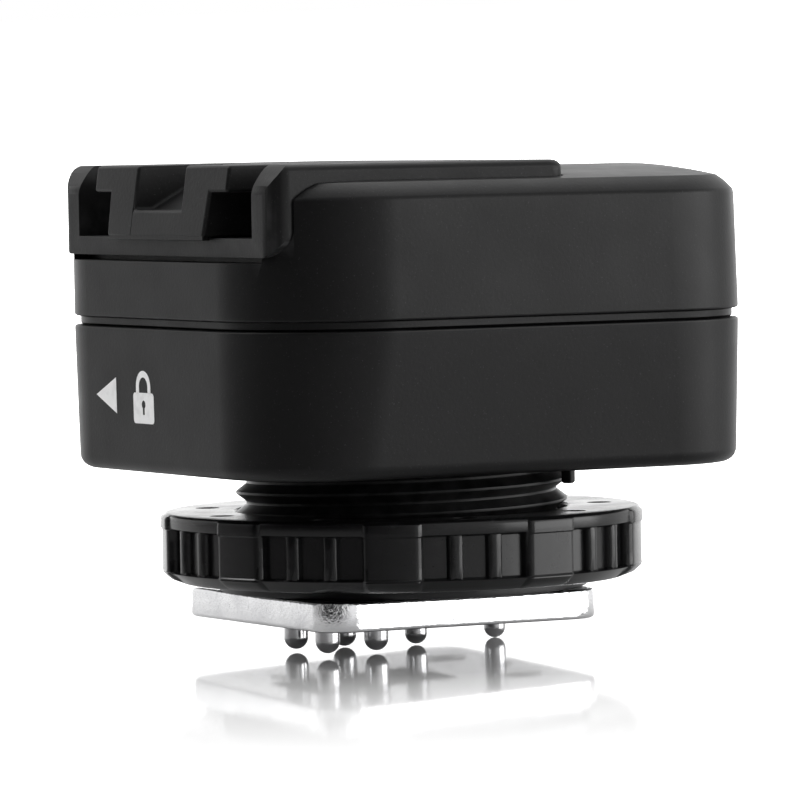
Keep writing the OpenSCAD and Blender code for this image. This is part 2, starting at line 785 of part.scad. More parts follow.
module shoe_insert() {
    color("#1e1e20") difference() {
        union() {
            translate([0, 0, insert_z]) linear_extrude(cap_seat_z - insert_z + 0.1)
                plan(-insert_half, insert_rear, insert_half, tray_front, 1);
            translate([0, 0, cap_seat_z]) linear_extrude(cap_top - cap_seat_z)
                plan(-insert_half, insert_rear, insert_half, insert_front, 1);
        }
        translate([-pocket_w / 2, insert_rear - 1, pocket_floor_z])
            cube([pocket_w, pocket_front - insert_rear + 1, upper_side_h]);
        // Bevel along the rear top edge
        translate([0, insert_rear, cap_top]) rotate([0, 90, 0]) linear_extrude(body_w, center = true)
            polygon([[-1, -1], [-1, rear_bevel], [0, rear_bevel], [rear_bevel, 0],
                [rear_bevel, -1]]);
        both_sides() {
            translate([case_screw.x, case_screw.y, insert_z - eps])
                cylinder(r = 0.85 + seat, h = 2.8);
            translate([insert_screw.x, insert_screw.y, insert_z - eps])
                cylinder(r = 0.6 + seat, h = 2.6);
        }
        at_rail_screws() flat_screw_hole(screw_head_r, screw_r, 2);
    }
}

module at_rail_screws() {
    for (x = [-4.7, 4.7], y = [insert_rear + 4.5, rail_front - 3])
        translate([x, y, insert_z]) children();
}

module insert_screws() {
    color("dimgray") both_sides() translate([insert_screw.x, insert_screw.y, shelf_z - seat])
        pan_screw(0.95, 0.6, 0.6, shelf_t + 2.4);
}

module rail_screws() {
    color("dimgray") at_rail_screws() flat_screw(screw_head_r, screw_r, insert_floor + 1.5);
}

module shoe_rail() {
    base_z = pocket_floor_z + seat;
    flange_bottom = rail_top - rail_flange_t;
    notch_floor = rail_top - notch_d;
    color("#242426") difference() {
        union() {
            translate([0, rail_front, 0]) rotate([90, 0, 0])
                linear_extrude(rail_front - rail_rear) polygon([
                    [-rail_base_w / 2, base_z], [rail_base_w / 2, base_z],
                    [rail_web_w / 2, flange_bottom], [rail_w / 2, flange_bottom],
                    [rail_w / 2, rail_top], [-rail_w / 2, rail_top],
                    [-rail_w / 2, flange_bottom], [-rail_web_w / 2, flange_bottom]]);
            // Lip behind the tray's floor
            translate([-rail_base_w / 2, rail_rear, base_z - rail_lip])
                cube([rail_base_w, rail_reach - slack / 2, rail_lip + 0.3]);
        }
        // Latch notch with a ramped end
        translate([0, rail_rear, 0]) rotate([90, 0, 90])
            linear_extrude(notch_w, center = true) polygon([
                [-1, notch_floor], [notch_flat, notch_floor], [notch_flat + notch_run, rail_top],
                [notch_flat + notch_run, rail_top + 1], [-1, rail_top + 1]]);
        translate([0, rail_rear, rail_top]) rotate([0, 90, 0])
            linear_extrude(body_w, center = true) polygon([
                [-1, -1], [-1, rail_bevel], [0, rail_bevel], [rail_bevel, 0], [rail_bevel, -1]]);
        for (i = [0:contact_slots - 1]) translate([(i - 1.5) * slot_pitch - slot_w / 2,
                rail_front - 1 - slot_l, rail_top - 1])
            cube([slot_w, slot_l, 2]);
        at_rail_screws() cylinder(r = screw_r + seat, h = insert_floor + 1.8);
    }
}

// Bowed contact strips in the rail's slots
module shoe_contacts() {
    bow = 0.5;
    color("gold") for (i = [0:contact_slots - 1])
        translate([(i - 1.5) * slot_pitch, rail_front - 1 - slot_l / 2, rail_top - 1 + seat])
            rotate([90, 0, 90]) linear_extrude(slot_w - 2 * slack, center = true) polygon([
                [-slot_l / 2 + slack, 0], [slot_l / 2 - slack, 0], [slot_l / 2 - slack, 0.2],
                [0.5, 0.2 + bow], [-0.5, 0.2 + bow], [-slot_l / 2 + slack, 0.2]]);
}

// Main board --------------------------------------------------------------

module at_board_screws() {
    both_sides() for (p = [side_boss, front_boss]) translate([p.x, p.y, main_z]) children();
}

module main_board() {
    color("seagreen") difference() {
        translate([0, 0, main_z]) linear_extrude(main_t)
            plan(-main_half, rear_y + wall + main_gap, main_half, front_y - wall - main_gap, main_r);
        at_case_screws() cylinder(r = case_boss_r + slack, h = main_top + 1);
        at_board_screws() translate([0, 0, -eps]) cylinder(r = screw_r + 0.1, h = main_t + 2 * eps);
    }
}

module board_screws() {
    color("lightgray") at_board_screws() translate([0, 0, -seat])
        pan_screw(1.25, board_screw_head, screw_r, main_t + 1.6);
}

// A piece soldered on the board's top face
module on_board(x, y, size) {
    translate([x - size.x / 2, y - size.y / 2, main_top + seat]) cube(size);
}

module flex_connector() {
    color("ivory") difference() {
        translate([-4, up_y - 0.9, main_z - 1.7 - seat]) cube([8, 2, 1.7]);
        translate([-3.1, up_y - 0.05, main_z - 2.5]) cube([6.2, flex_t + 0.1, 2]);
    }
}

module radio_module() {
    radio_y = rear_y + 7.5;
    color("steelblue") on_board(0.5, radio_y, [12, 8, 0.5]);
    color("silver") translate([0, 0, 0.5]) on_board(0.5, radio_y, [10.6, 6.6, 1.1]);
}

module microcontroller() { color("#222222") on_board(5.6, chip_y, [6, 6, 1]); }

module crystal() { color("lightgray") on_board(-2, chip_y - 0.3, [3.2, 2.5, 0.8]); }

module capacitors() {
    color("darkslateblue") for (x = cap_x)
        translate([x, cap_y, main_top + seat]) difference() {
            cylinder(r = cap_r, h = 2.2 * cap_r);
            translate([0, 0, 1.8 * cap_r]) difference() {
                cylinder(r = cap_r + 0.1, h = 0.3);
                cylinder(r = cap_r - 0.2, h = 0.3);
            }
        }
}

// Quarter-wave coil antenna, lying across the board's front
module antenna() {
    long = cap_x[1] - cap_r - 0.4 - antenna_x;
    color("goldenrod") translate([antenna_x, cap_y, main_top + 1.5 + seat]) rotate([0, 90, 0])
        coil(1.3, 0.15, 7, long, 10);
}

module status_led() { color("palegreen") on_board(lamp.x, lamp.y, [1.6, 0.9, 0.6]); }

module light_pipe() {
    color("honeydew") translate([lamp.x, lamp.y, main_top + 0.8])
        cylinder(d = lamp_d, h = crown_z(lamp.x) - main_top - 0.8);
}

// Controls ----------------------------------------------------------------

module power_switch() {
    long = switch_stem.x + switch_travel + 1;
    color("silver") difference() {
        translate([switch_x, switch_y - switch_stem.x / 2 - 0.5, main_top + seat])
            cube([2.6, long, switch_h]);
        translate([switch_x - 1, switch_y - switch_stem.x / 2 - slack,
                switch_z - switch_stem.y / 2 - slack])
            cube([2.4, switch_stem.x + switch_travel + 2 * slack, switch_stem.y + 2 * slack]);
    }
}

module switch_knob() {
    grip = [0.55, switch_stem.x + 0.4, 1.8];
    color("#2a2a2c") {
        translate([-side_x - 0.1, switch_y - switch_stem.x / 2, switch_z - switch_stem.y / 2])
            cube([side_x + 0.1 + switch_x + 1.2, switch_stem.x, switch_stem.y]);
        difference() {
            translate([-side_x - fit - grip.x, switch_y - grip.y / 2, switch_z - grip.z / 2]) cube(grip);
            for (i = [-1, 0, 1]) translate([-side_x - fit - grip.x - 0.1,
                    switch_y + i * 0.8 - 0.15, switch_z - grip.z])
                cube([0.3, 0.3, 2 * grip.z]);
        }
    }
}

module test_switch() {
    color("dimgray") difference() {
        translate([switch_front - main_half, button_y - 1.5, main_top + seat]) cube([3, 3, 4]);
        translate([-main_half, button_y, button_z]) rotate([0, 90, 0])
            cylinder(r = actuator_r + 0.1, h = switch_front + actuator_in + button_travel + 0.3);
    }
}

module test_button() {
    color("firebrick") translate([-side_x - button_proud, button_y, button_z]) rotate([0, 90, 0]) {
        cylinder(d = button_d, h = button_proud + wall + button_travel);
        translate([0, 0, button_proud + wall + 0.2])
            cylinder(r = button_d / 2 + button_flange, h = 0.5);
        cylinder(r = actuator_r, h = button_proud + side_x - main_half + switch_front + actuator_in);
    }
}

// Battery -----------------------------------------------------------------

module battery_drawer() {
    color("#1f1f21") difference() {
        union() {
            translate([0, 0, drawer_z]) linear_extrude(drawer_side_h) {
                translate([0, cell_y]) circle(r = drawer_half);
                translate([-drawer_half, cell_y])
                    square([2 * drawer_half, front_y - wall - 0.2 - cell_y]);
            }
            intersection() {
                lower_form();
                translate([-drawer_face_half, front_y - wall - 0.3, drawer_z])
                    cube([2 * drawer_face_half, wall + 1, drawer_face_top - drawer_z]);
            }
        }
        translate([0, cell_y, drawer_z + drawer_floor]) cylinder(r = drawer_r, h = cell_t + 2);
        translate([-side_window, cell_y - drawer_half - 1, drawer_z + drawer_floor])
            cube([2 * side_window, 3, cell_t]);
        translate([0, cell_y, drawer_z - eps]) cylinder(r = 6, h = 1);
        // Finger-nail groove in the face
        translate([0, front_y + 0.35, (drawer_z + drawer_face_top) / 2]) rotate([0, 90, 0])
            cylinder(r = 1, h = 12, center = true);
    }
}

module coin_cell() {
    color("silver") translate([0, cell_y, cell_z]) {
        cylinder(r = cell_r, h = cell_t - 0.4);
        translate([0, 0, cell_t - 0.4 - eps]) cylinder(r = cell_r - 1.4, h = 0.4 + eps);
    }
}

// Leaf contact over the cell
module cell_top_contact() {
    touch = cell_top + seat;
    root_z = main_z - seat;
    color("gold") rotate([90, 0, 90]) linear_extrude(4, center = true) polygon([
        [-5.4, root_z], [-5.4, root_z - 0.2], [-3.4, root_z - 0.2], [2.4, touch], [3.6, touch],
        [4.6, touch + 0.3], [4.4, touch + 0.4], [3.5, touch + 0.2], [2.5, touch + 0.2],
        [-3.3, root_z]]);
}

// Leaf contact against the cell's rim
module cell_side_contact() {
    rim = cell_y - cell_r - seat;
    root_z = main_z - seat;
    low = drawer_z + drawer_floor + 0.4;
    color("gold") translate([-1.5, 0, 0]) rotate([90, 0, 90]) linear_extrude(3) polygon([
        [rim - 1.6, root_z - 0.2], [rim - 0.2, root_z - 0.2], [rim - 0.2, low],
        [rim, low], [rim, root_z], [rim - 1.6, root_z]]);
}

foot_plate();
plate_screws();
contact_block();
sync_contact();
data_contact_a();
data_contact_b();
data_contact_c();
data_contact_d();
sync_spring();
data_spring_a();
data_spring_b();
data_spring_c();
data_spring_d();
foot_board();
foot_board_screws();
foot_flex();
threaded_post();
post_screws();
pressure_plate();
lock_pin();
lock_ring();
lower_case();
upper_case();
case_screws();
shoe_insert();
insert_screws();
shoe_rail();
rail_screws();
shoe_contacts();
main_board();
board_screws();
flex_connector();
radio_module();
microcontroller();
crystal();
capacitors();
antenna();
status_led();
light_pipe();
power_switch();
switch_knob();
test_switch();
test_button();
battery_drawer();
coin_cell();
cell_top_contact();
cell_side_contact();
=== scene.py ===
"""Looks of a pass-through flash trigger: moulded black cases over a threaded shoe foot with a lock ring.

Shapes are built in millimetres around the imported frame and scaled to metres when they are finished.
"""

import json
from math import cos, pi, radians, sin, sqrt

import bmesh
import bpy
from mathutils import Matrix, Vector


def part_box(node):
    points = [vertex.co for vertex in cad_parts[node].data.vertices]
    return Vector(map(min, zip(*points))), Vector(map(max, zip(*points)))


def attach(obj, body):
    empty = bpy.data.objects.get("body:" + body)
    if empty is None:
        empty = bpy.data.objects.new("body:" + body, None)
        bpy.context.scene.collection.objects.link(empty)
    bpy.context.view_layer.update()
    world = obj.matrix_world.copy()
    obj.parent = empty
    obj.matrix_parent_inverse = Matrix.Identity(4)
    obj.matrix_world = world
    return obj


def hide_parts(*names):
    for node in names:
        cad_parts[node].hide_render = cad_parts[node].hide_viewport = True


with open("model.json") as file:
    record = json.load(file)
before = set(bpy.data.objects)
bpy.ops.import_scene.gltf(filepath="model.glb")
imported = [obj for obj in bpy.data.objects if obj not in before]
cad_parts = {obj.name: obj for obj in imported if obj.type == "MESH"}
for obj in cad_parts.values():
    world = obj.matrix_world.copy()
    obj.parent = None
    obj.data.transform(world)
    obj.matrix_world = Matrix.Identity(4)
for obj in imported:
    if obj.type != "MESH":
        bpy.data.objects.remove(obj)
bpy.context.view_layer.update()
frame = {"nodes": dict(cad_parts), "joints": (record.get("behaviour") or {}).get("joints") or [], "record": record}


# Sizes, in millimetres ---------------------------------------------------

def box_mm(node):
    """Lowest and highest corner of a CAD node."""
    low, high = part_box(node)
    return low * 1000, high * 1000


def middle(low, high):
    """Centre between two corners."""
    return [(a + b) / 2 for a, b in zip(low, high)]


UPPER_LO, UPPER_HI = box_mm("upper_case")
RING_LO, RING_HI = box_mm("lock_ring")
PLATE_LO, PLATE_HI = box_mm("foot_plate")
INSERT_LO, INSERT_HI = box_mm("shoe_insert")
RAIL_LO, RAIL_HI = box_mm("shoe_rail")
POST_LO, POST_HI = box_mm("threaded_post")
LENS_LO, LENS_HI = box_mm("light_pipe")
KNOB_LO, KNOB_HI = box_mm("switch_knob")
BUTTON_LO, BUTTON_HI = box_mm("test_button")
CASE_SCREW_LO, CASE_SCREW_HI = box_mm("case_screws")
DRAWER_LO, DRAWER_HI = box_mm("battery_drawer")

# Clearances: between seated pieces, round a running piece, and round one that drops in
SEAT, FIT, SLACK = 0.02, 0.05, 0.15
# How far a cutter reaches past the face it cuts, and a distance beyond the case on any side
PAST, FAR = 1.0, 20.0

# The case in plan: half width, rear and front end, upright corners
SIDE = UPPER_HI.x
REAR, FRONT = UPPER_LO.y, UPPER_HI.y
CORNER_R = 7.5
# Its wall, its floor, and the upper shell's lip inside the lower one
WALL, FLOOR_T, LIP_H = 1.5, 2.2, 1.0
# Its levels: parting line, underside, inner floor, foot of the bevel, rim of the crown
PART_Z = UPPER_LO.z + LIP_H
BOTTOM_Z = PART_Z - 8.3
INNER_Z = BOTTOM_Z + FLOOR_T
BEVEL_Z = PART_Z + 7.2
BEVEL_H, BEVEL_RUN = 0.9, 1.0
RIM_Z = BEVEL_Z + BEVEL_H
CROWN_H = UPPER_HI.z - RIM_Z
# How far the bevel bulges, as a share of its size
BULGE = 0.045
# The shadow groove over the parting line
GROOVE_H, GROOVE_D = 0.5, 0.36
# How far the front end leans in towards the top, and the sides and the ends towards the bottom
LEAN, SIDE_DRAFT, END_DRAFT = 0.2, 0.9, 0.1
# The rounded edge round the underside
EDGE_R = 0.8

# The upper shoe's pocket: half width, floor, and how far it ends behind the top plate's front edge
POCKET_HALF, POCKET_Z, POCKET_BACK = 11.0, PART_Z + 5.1, 3.9
# The top plate's front corners, and how far it reaches past the tray's floor
CAP_R, CAP_REACH = 1.0, 3.0
TRAY_FRONT = INSERT_HI.y - CAP_REACH
# The rail's latch notch: half width, depth, and the lengths of its flat and of its ramp
NOTCH_HALF, NOTCH_D, NOTCH_FLAT, NOTCH_RUN = 2.97, 2.5, 1.4, 4.6
# The rail's slots for the contact strips
SLOTS, SLOT_PITCH, SLOT_HALF = 4, 2.6, 0.65

# The post's thread, its bore, and the neck below the thread
ROOT_R, CREST_R, PITCH, BORE_R = 8.95, 9.55, 1.2, 7.6
NECK_TOP, NECK_HALF, NECK_FRONT = 3.9, 6.1, 6.6
# The contact pins' heads and the stubs on them, then the lock pin's place, radius in the plate, and head
PIN_HEAD_Z, PIN_HEAD_TOP, PIN_STUB_R = 2.04, 2.5, 0.35
LOCK_PIN_Y = middle(*box_mm("lock_pin"))[1]
LOCK_PIN_R, LOCK_HEAD_T = 0.825, 0.35
# The foot plate's window for the contacts, and its screws
WINDOW_HALF, WINDOW_BACK, WINDOW_FRONT = 2.92, 7.32, 1.88
PLATE_SCREW_X, PLATE_SCREW_Y = 4.45, 5.0
# The power switch's stem, and its travel
STEM_HALF_L, STEM_HALF_H = 1.2, 0.35
SWITCH_TRAVEL = 1000 * next(row["range_m"][1] for row in frame["joints"] if row["name"] == "switch_slide")
BUTTON_R = 1.6

# The lock ring's radii: grip band, ribs, flutes and lower edge, then bore, collar groove and dimples
BAND_R, RIB_R, FLUTE_R, RING_FOOT_R = 13.75, 13.65, 13.2, 12.9
RING_BORE_R, COLLAR_R, SNAP_R, DIMPLE_R = 9.6, 10.2, 10.45, 11.55
# Its grip pads, and the two ribs between each pair of pads, in degrees
PADS, FIRST_PAD, PAD_HALF, RIB_HALF, RIB_OFFSET = 9, 9.3, 7.25, 2.0, 4.9
SECTOR = 360 / PADS


# Mesh tools --------------------------------------------------------------

def new_object(name, data):
    """An object for mesh, lamp or camera data, linked to the scene."""
    obj = bpy.data.objects.new(name, data)
    bpy.context.scene.collection.objects.link(obj)
    return obj


def make(name, verts, faces):
    """An object with a mesh of these points and faces."""
    mesh = bpy.data.meshes.new(name)
    mesh.from_pydata([tuple(v) for v in verts], [], faces)
    mesh.validate()
    return new_object(name, mesh)


def edited(obj, edit):
    """Opens the object's mesh as a bmesh and runs edit on it."""
    work = bmesh.new()
    work.from_mesh(obj.data)
    edit(work)
    work.to_mesh(obj.data)
    work.free()
    return obj


def weld(obj, distance=0.0005):
    """Merges doubled points and turns the faces outward."""
    def edit(work):
        bmesh.ops.remove_doubles(work, verts=work.verts, dist=distance)
        bmesh.ops.dissolve_degenerate(work, edges=work.edges, dist=distance)
        bmesh.ops.recalc_face_normals(work, faces=work.faces)

    return edited(obj, edit)


def loft(name, loops, ring=False):
    """Quads between loops of equal length, closed by caps or, as a ring, end to end."""
    count, last = len(loops[0]), len(loops) - 1
    verts = [point for loop in loops for point in loop]
    pairs = [(k, k + 1) for k in range(last)]
    if ring:
        pairs.append((last, 0))
    faces = []
    for a, b in pairs:
        for i in range(count):
            j = (i + 1) % count
            faces.append((a * count + i, a * count + j, b * count + j, b * count + i))
    if not ring:
        faces.append(tuple(reversed(range(count))))
        faces.append(tuple(range(last * count, (last + 1) * count)))
    return weld(make(name, verts, faces))


def arc(u, v, r, start, end, count):
    """Points (u, v) round a centre, from one angle to another."""
    turns = [radians(start + (end - start) * i / count) for i in range(count + 1)]
    return [(u + r * cos(turn), v + r * sin(turn)) for turn in turns]


def between(a, b, share):
    """The point at a share of the way from a to b."""
    return tuple(p + (q - p) * share for p, q in zip(a, b))


def rounded(x0, y0, x1, y1, r, z, count, straight=1):
    """Rounded rectangle as a loop. r is one radius, or four from the +X -Y corner round.

    Each corner has count steps, and each side between two corners has straight steps.
    """
    radii = r if isinstance(r, (list, tuple)) else [r] * 4
    corners = []
    for (sx, sy, start), rad in zip(((1, -1, -90), (1, 1, 0), (-1, 1, 90), (-1, -1, 180)), radii):
        x = x1 - rad if sx > 0 else x0 + rad
        y = y1 - rad if sy > 0 else y0 + rad
        corners.append(arc(x, y, rad, start, start + 90, count))
    loop = []
    for k in range(4):
        loop += corners[k]
        a, b = corners[k][-1], corners[(k + 1) % 4][0]
        loop += [between(a, b, i / straight) for i in range(1, straight)]
    return [(x, y, z) for x, y in loop]


def body_loop(z, dx, dy=None, lean=0.0):
    """The case's outline at a height, drawn in by dx at the sides and dy at the ends."""
    dy = dx if dy is None else dy
    r = max(CORNER_R - max(dx, dy), 0.6)
    return rounded(dx - SIDE, REAR + dy, SIDE - dx, FRONT - dy - lean, r, z, 18, 8)


def circle(r, z, count, at=(0, 0)):
    """A round loop of count points."""
    turns = [2 * pi * i / count for i in range(count)]
    return [(at[0] + r * cos(turn), at[1] + r * sin(turn), z) for turn in turns]


def lathe(name, profile, count, at=(0, 0)):
    """Turned solid from (radius, height) points, lowest first, with a flat or pointed end."""
    return loft(name, [circle(max(r, 1e-4), z, count, at) for r, z in profile])


def prism(name, outline, start, end, axis="y"):
    """Extrudes an outline along an axis: (x, z) along y, or (y, z) along x."""
    if axis == "y":
        return loft(name, [[(u, place, v) for u, v in outline] for place in (end, start)])
    return loft(name, [[(place, u, v) for u, v in outline] for place in (start, end)])


def block(x0, y0, z0, x1, y1, z1):
    """A plain block, used to cut or to be joined."""
    return loft("cutter", [[(x0, y0, z), (x1, y0, z), (x1, y1, z), (x0, y1, z)] for z in (z0, z1)])


def bake(obj):
    """Applies the modifiers."""
    bpy.context.view_layer.update()
    graph = bpy.context.evaluated_depsgraph_get()
    mesh = bpy.data.meshes.new_from_object(obj.evaluated_get(graph))
    old = obj.data
    obj.modifiers.clear()
    obj.data = mesh
    bpy.data.meshes.remove(old)
    return obj


def boolean(obj, others, operation="DIFFERENCE"):
    """Cuts the others out of obj, or joins or intersects them with it, and deletes them."""
    for other in others:
        cut = obj.modifiers.new("cut", "BOOLEAN")
        cut.operation = operation
        cut.object = other
        cut.solver = "EXACT"
    bake(obj)
    for other in others:
        bpy.data.objects.remove(other)
    return obj


def joined(obj, others):
    """Adds the others' meshes to obj as separate shells."""
    def edit(work):
        for other in others:
            work.from_mesh(other.data)
            bpy.data.objects.remove(other)

    return edited(obj, edit)


def soften(obj, width, segments=2, angle=32):
    """Rounds the edges that are sharper than an angle."""
    weld(obj)
    bevel = obj.modifiers.new("round", "BEVEL")
    bevel.width = width
    bevel.segments = segments
    bevel.limit_method = "ANGLE"
    bevel.angle_limit = radians(angle)
    bevel.use_clamp_overlap = True
    return bake(obj)


def finished(obj, body, slot, nodes=(), smooth=38, finish=None):
    """Scales to metres, shades, and hangs the piece on the frame."""
    mesh = obj.data
    mesh.transform(Matrix.Scale(0.001, 4))
    mesh.polygons.foreach_set("use_smooth", [True] * len(mesh.polygons))
    mesh.set_sharp_from_angle(angle=radians(smooth))
    normals = obj.modifiers.new("normals", "WEIGHTED_NORMAL")
    normals.keep_sharp = True
    normals.weight = 60
    bake(obj)
    obj.data.materials.clear()
    obj.data.materials.append(FINISHES[finish or slot])
    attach(obj, body)
    if nodes:
        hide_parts(*nodes)


# Materials ---------------------------------------------------------------

# The finished materials, by slot
FINISHES = {}


class Finish:
    """A node material built up from noise over the piece's own coordinates."""

    def __init__(self, name, colour, rough, metal=0.0, specular=0.5):
        material = bpy.data.materials.new(name)
        material.use_nodes = True
        self.tree = material.node_tree
        self.tree.nodes.clear()
        out = self.node("ShaderNodeOutputMaterial")
        self.shader = self.node("ShaderNodeBsdfPrincipled")
        self.link(self.shader.outputs["BSDF"], out.inputs["Surface"])
        self.colour, self.rough = colour, rough
        self.shader.inputs["Base Color"].default_value = (*colour, 1)
        self.shader.inputs["Roughness"].default_value = rough
        self.shader.inputs["Metallic"].default_value = metal
        self.shader.inputs["Specular IOR Level"].default_value = specular
        self.coords = self.node("ShaderNodeTexCoord").outputs["Object"]
        self.normal = None
        FINISHES[name] = material

    def node(self, kind, **values):
        """A new node with some of its settings."""
        node = self.tree.nodes.new(kind)
        for key, value in values.items():
            setattr(node, key, value)
        return node

    def link(self, output, socket):
        self.tree.links.new(output, socket)

    def noise(self, scale, detail):
        """A noise value over the piece."""
        noise = self.node("ShaderNodeTexNoise")
        noise.inputs["Scale"].default_value = scale
        noise.inputs["Detail"].default_value = detail
        noise.inputs["Roughness"].default_value = 0.55
        self.link(self.coords, noise.inputs["Vector"])
        return noise.outputs["Fac"]

    def ramp(self, value, low, high, out_low=0.0, out_high=1.0):
        """The value, stretched from low and high to out_low and out_high."""
        ramp = self.node("ShaderNodeMapRange")
        ramp.inputs["From Min"].default_value = low
        ramp.inputs["From Max"].default_value = high
        ramp.inputs["To Min"].default_value = out_low
        ramp.inputs["To Max"].default_value = out_high
        self.link(value, ramp.inputs["Value"])
        return ramp.outputs["Result"]

    def near(self, point, inner, outer):
        """1 within the inner distance of a point, 0 beyond the outer one, in millimetres."""
        away = self.node("ShaderNodeVectorMath", operation="DISTANCE")
        away.inputs[1].default_value = [v * 0.001 for v in point]
        self.link(self.coords, away.inputs[0])
        return self.ramp(away.outputs["Value"], inner * 0.001, outer * 0.001, 1, 0)

    def facing_down(self):
        """1 where the surface faces down, 0 where it doesn't."""
        axes = self.node("ShaderNodeSeparateXYZ")
        self.link(self.node("ShaderNodeNewGeometry").outputs["Normal"], axes.inputs[0])
        return self.ramp(axes.outputs["Z"], -0.6, -0.9)

    def grain(self, scale, depth, strength=1.0, mask=None):
        """Fine relief, depth in millimetres, everywhere or where the mask is high."""
        bump = self.node("ShaderNodeBump")
        bump.inputs["Strength"].default_value = strength
        if mask:
            self.link(mask, bump.inputs["Strength"])
        bump.inputs["Distance"].default_value = depth * 0.001
        self.link(self.noise(scale, 2), bump.inputs["Height"])
        if self.normal:
            self.link(self.normal, bump.inputs["Normal"])
        self.normal = bump.outputs["Normal"]
        self.link(self.normal, self.shader.inputs["Normal"])

    def mottle(self, scale, spread):
        """Uneven roughness, by up to spread either way."""
        value = self.ramp(self.noise(scale, 4), 0.3, 0.7, self.rough - spread, self.rough + spread)
        self.link(value, self.shader.inputs["Roughness"])

    def tint(self, mask, colour):
        """Blends another colour in where the mask is high."""
        blend = self.node("ShaderNodeMix", data_type="RGBA")
        blend.inputs[6].default_value = (*self.colour, 1)
        blend.inputs[7].default_value = (*colour, 1)
        base = self.shader.inputs["Base Color"]
        if base.is_linked:
            self.link(base.links[0].from_socket, blend.inputs[6])
        self.link(mask, blend.inputs[0])
        self.link(blend.outputs[2], base)

    def flecks(self, scale, colour):
        """Small scattered flecks."""
        self.tint(self.ramp(self.noise(scale, 1), 0.68, 0.78), colour)

    def patches(self, scale, colour, low=0.35, high=0.75):
        """Broad, faint changes of colour."""
        self.tint(self.ramp(self.noise(scale, 5), low, high), colour)

    def wear(self, colour):
        """Edges rubbed lighter, here and there."""
        edge = self.ramp(self.node("ShaderNodeNewGeometry").outputs["Pointiness"], 0.58, 0.68)
        both = self.node("ShaderNodeMath", operation="MULTIPLY")
        self.link(edge, both.inputs[0])
        self.link(self.ramp(self.noise(900, 3), 0.35, 0.65), both.inputs[1])
        self.tint(both.outputs[0], colour)


def plastic(slot, colour, rough, fleck, grain=(5200, 0.006), specular=0.3):
    """Moulded plastic with faint patches, flecks, rubbed edges and a grain of (scale, depth)."""
    finish = Finish(slot, colour, rough, 0, specular)
    finish.patches(140, tuple(c * 1.35 for c in colour))
    finish.flecks(9000, fleck)
    finish.wear(tuple(min(1, c * 3 + 0.004) for c in colour))
    finish.mottle(260, 0.035)
    finish.grain(*grain)


def metal(slot, colour, rough, spread=0.06, grain=(2500, 0.002), stain=None):
    """Bare or plated metal with stained patches, uneven gloss and a grain of (scale, depth)."""
    finish = Finish(slot, colour, rough, 1.0)
    finish.patches(300, stain or tuple(c * 0.86 for c in colour))
    finish.mottle(700, spread)
    finish.grain(*grain)


# Slot, colour, roughness, colour of the flecks, grain, specular level
plastic("case_black", (0.0042, 0.0042, 0.0044), 0.4, (0.02, 0.02, 0.021), (5200, 0.006), 0.155)
plastic("insert_black", (0.0055, 0.0055, 0.0057), 0.42, (0.022, 0.022, 0.023), (4200, 0.008), 0.16)
plastic("rail_black", (0.0065, 0.0065, 0.0067), 0.44, (0.026, 0.026, 0.027), (3800, 0.01), 0.15)
plastic("ring_gloss", (0.0045, 0.0045, 0.0048), 0.24, (0.012, 0.012, 0.013), (1800, 0.002), 0.28)
plastic("plate_black", (0.012, 0.012, 0.013), 0.4, (0.03, 0.03, 0.03))
plastic("black_post", (0.004, 0.004, 0.0042), 0.34, (0.012, 0.012, 0.012), (2600, 0.003), 0.14)
plastic("black_block", (0.014, 0.014, 0.014), 0.5, (0.03, 0.03, 0.03))
plastic("knob_black", (0.02, 0.02, 0.021), 0.5, (0.04, 0.04, 0.04))
plastic("button_red", (0.42, 0.02, 0.016), 0.38, (0.5, 0.05, 0.04), (5200, 0.004), 0.5)

# Plated casting, with one rough corner and painted shade on the underside
chrome = Finish("chrome_plate", (0.82, 0.82, 0.83), 0.12, 1.0)
chrome.patches(420, (0.6, 0.6, 0.62), 0.45, 0.8)
chrome.mottle(900, 0.08)
chrome.grain(700, 0.02, 0.6)
chrome.grain(3600, 0.022)
rough_corner = (PLATE_HI.x - 0.5, PLATE_LO.y + 0.5, PLATE_HI.z)
chrome.grain(5200, 0.08, mask=chrome.near(rough_corner, 0.5, 1.5))
# Painted shade: the faces that point down are tinted darker, as if in shadow
chrome.tint(chrome.facing_down(), (0.62, 0.62, 0.64))

# Slot, colour, roughness, how uneven that is, grain, colour of the stains
metal("steel_pins", (0.66, 0.66, 0.67), 0.16, 0.05, (1500, 0.001))
metal("steel_screws", (0.2, 0.2, 0.21), 0.34, 0.08)
metal("bright_screws", (0.6, 0.6, 0.6), 0.3, 0.08)
metal("spring_wire", (0.62, 0.5, 0.25), 0.26)
metal("contact_gold", (0.85, 0.58, 0.22), 0.24)
metal("shield_tin", (0.58, 0.59, 0.6), 0.4)
metal("crystal_can", (0.66, 0.66, 0.66), 0.3)
metal("cell_steel", (0.62, 0.62, 0.61), 0.3, 0.02, (2600, 0.001), (0.58, 0.58, 0.57))
metal("switch_metal", (0.52, 0.52, 0.52), 0.36)

plastic("board_green", (0.012, 0.09, 0.04), 0.35, (0.03, 0.13, 0.06), (1500, 0.01), 0.5)
plastic("flex_amber", (0.4, 0.17, 0.03), 0.35, (0.5, 0.24, 0.06), (1500, 0.004), 0.5)
plastic("connector_ivory", (0.66, 0.6, 0.45), 0.5, (0.7, 0.66, 0.52), (2500, 0.006), 0.5)
plastic("chip_black", (0.014, 0.014, 0.015), 0.55, (0.03, 0.03, 0.03))
plastic("cap_sleeve", (0.02, 0.02, 0.045), 0.3, (0.04, 0.04, 0.07))
plastic("led_body", (0.5, 0.62, 0.42), 0.3, (0.6, 0.7, 0.5))

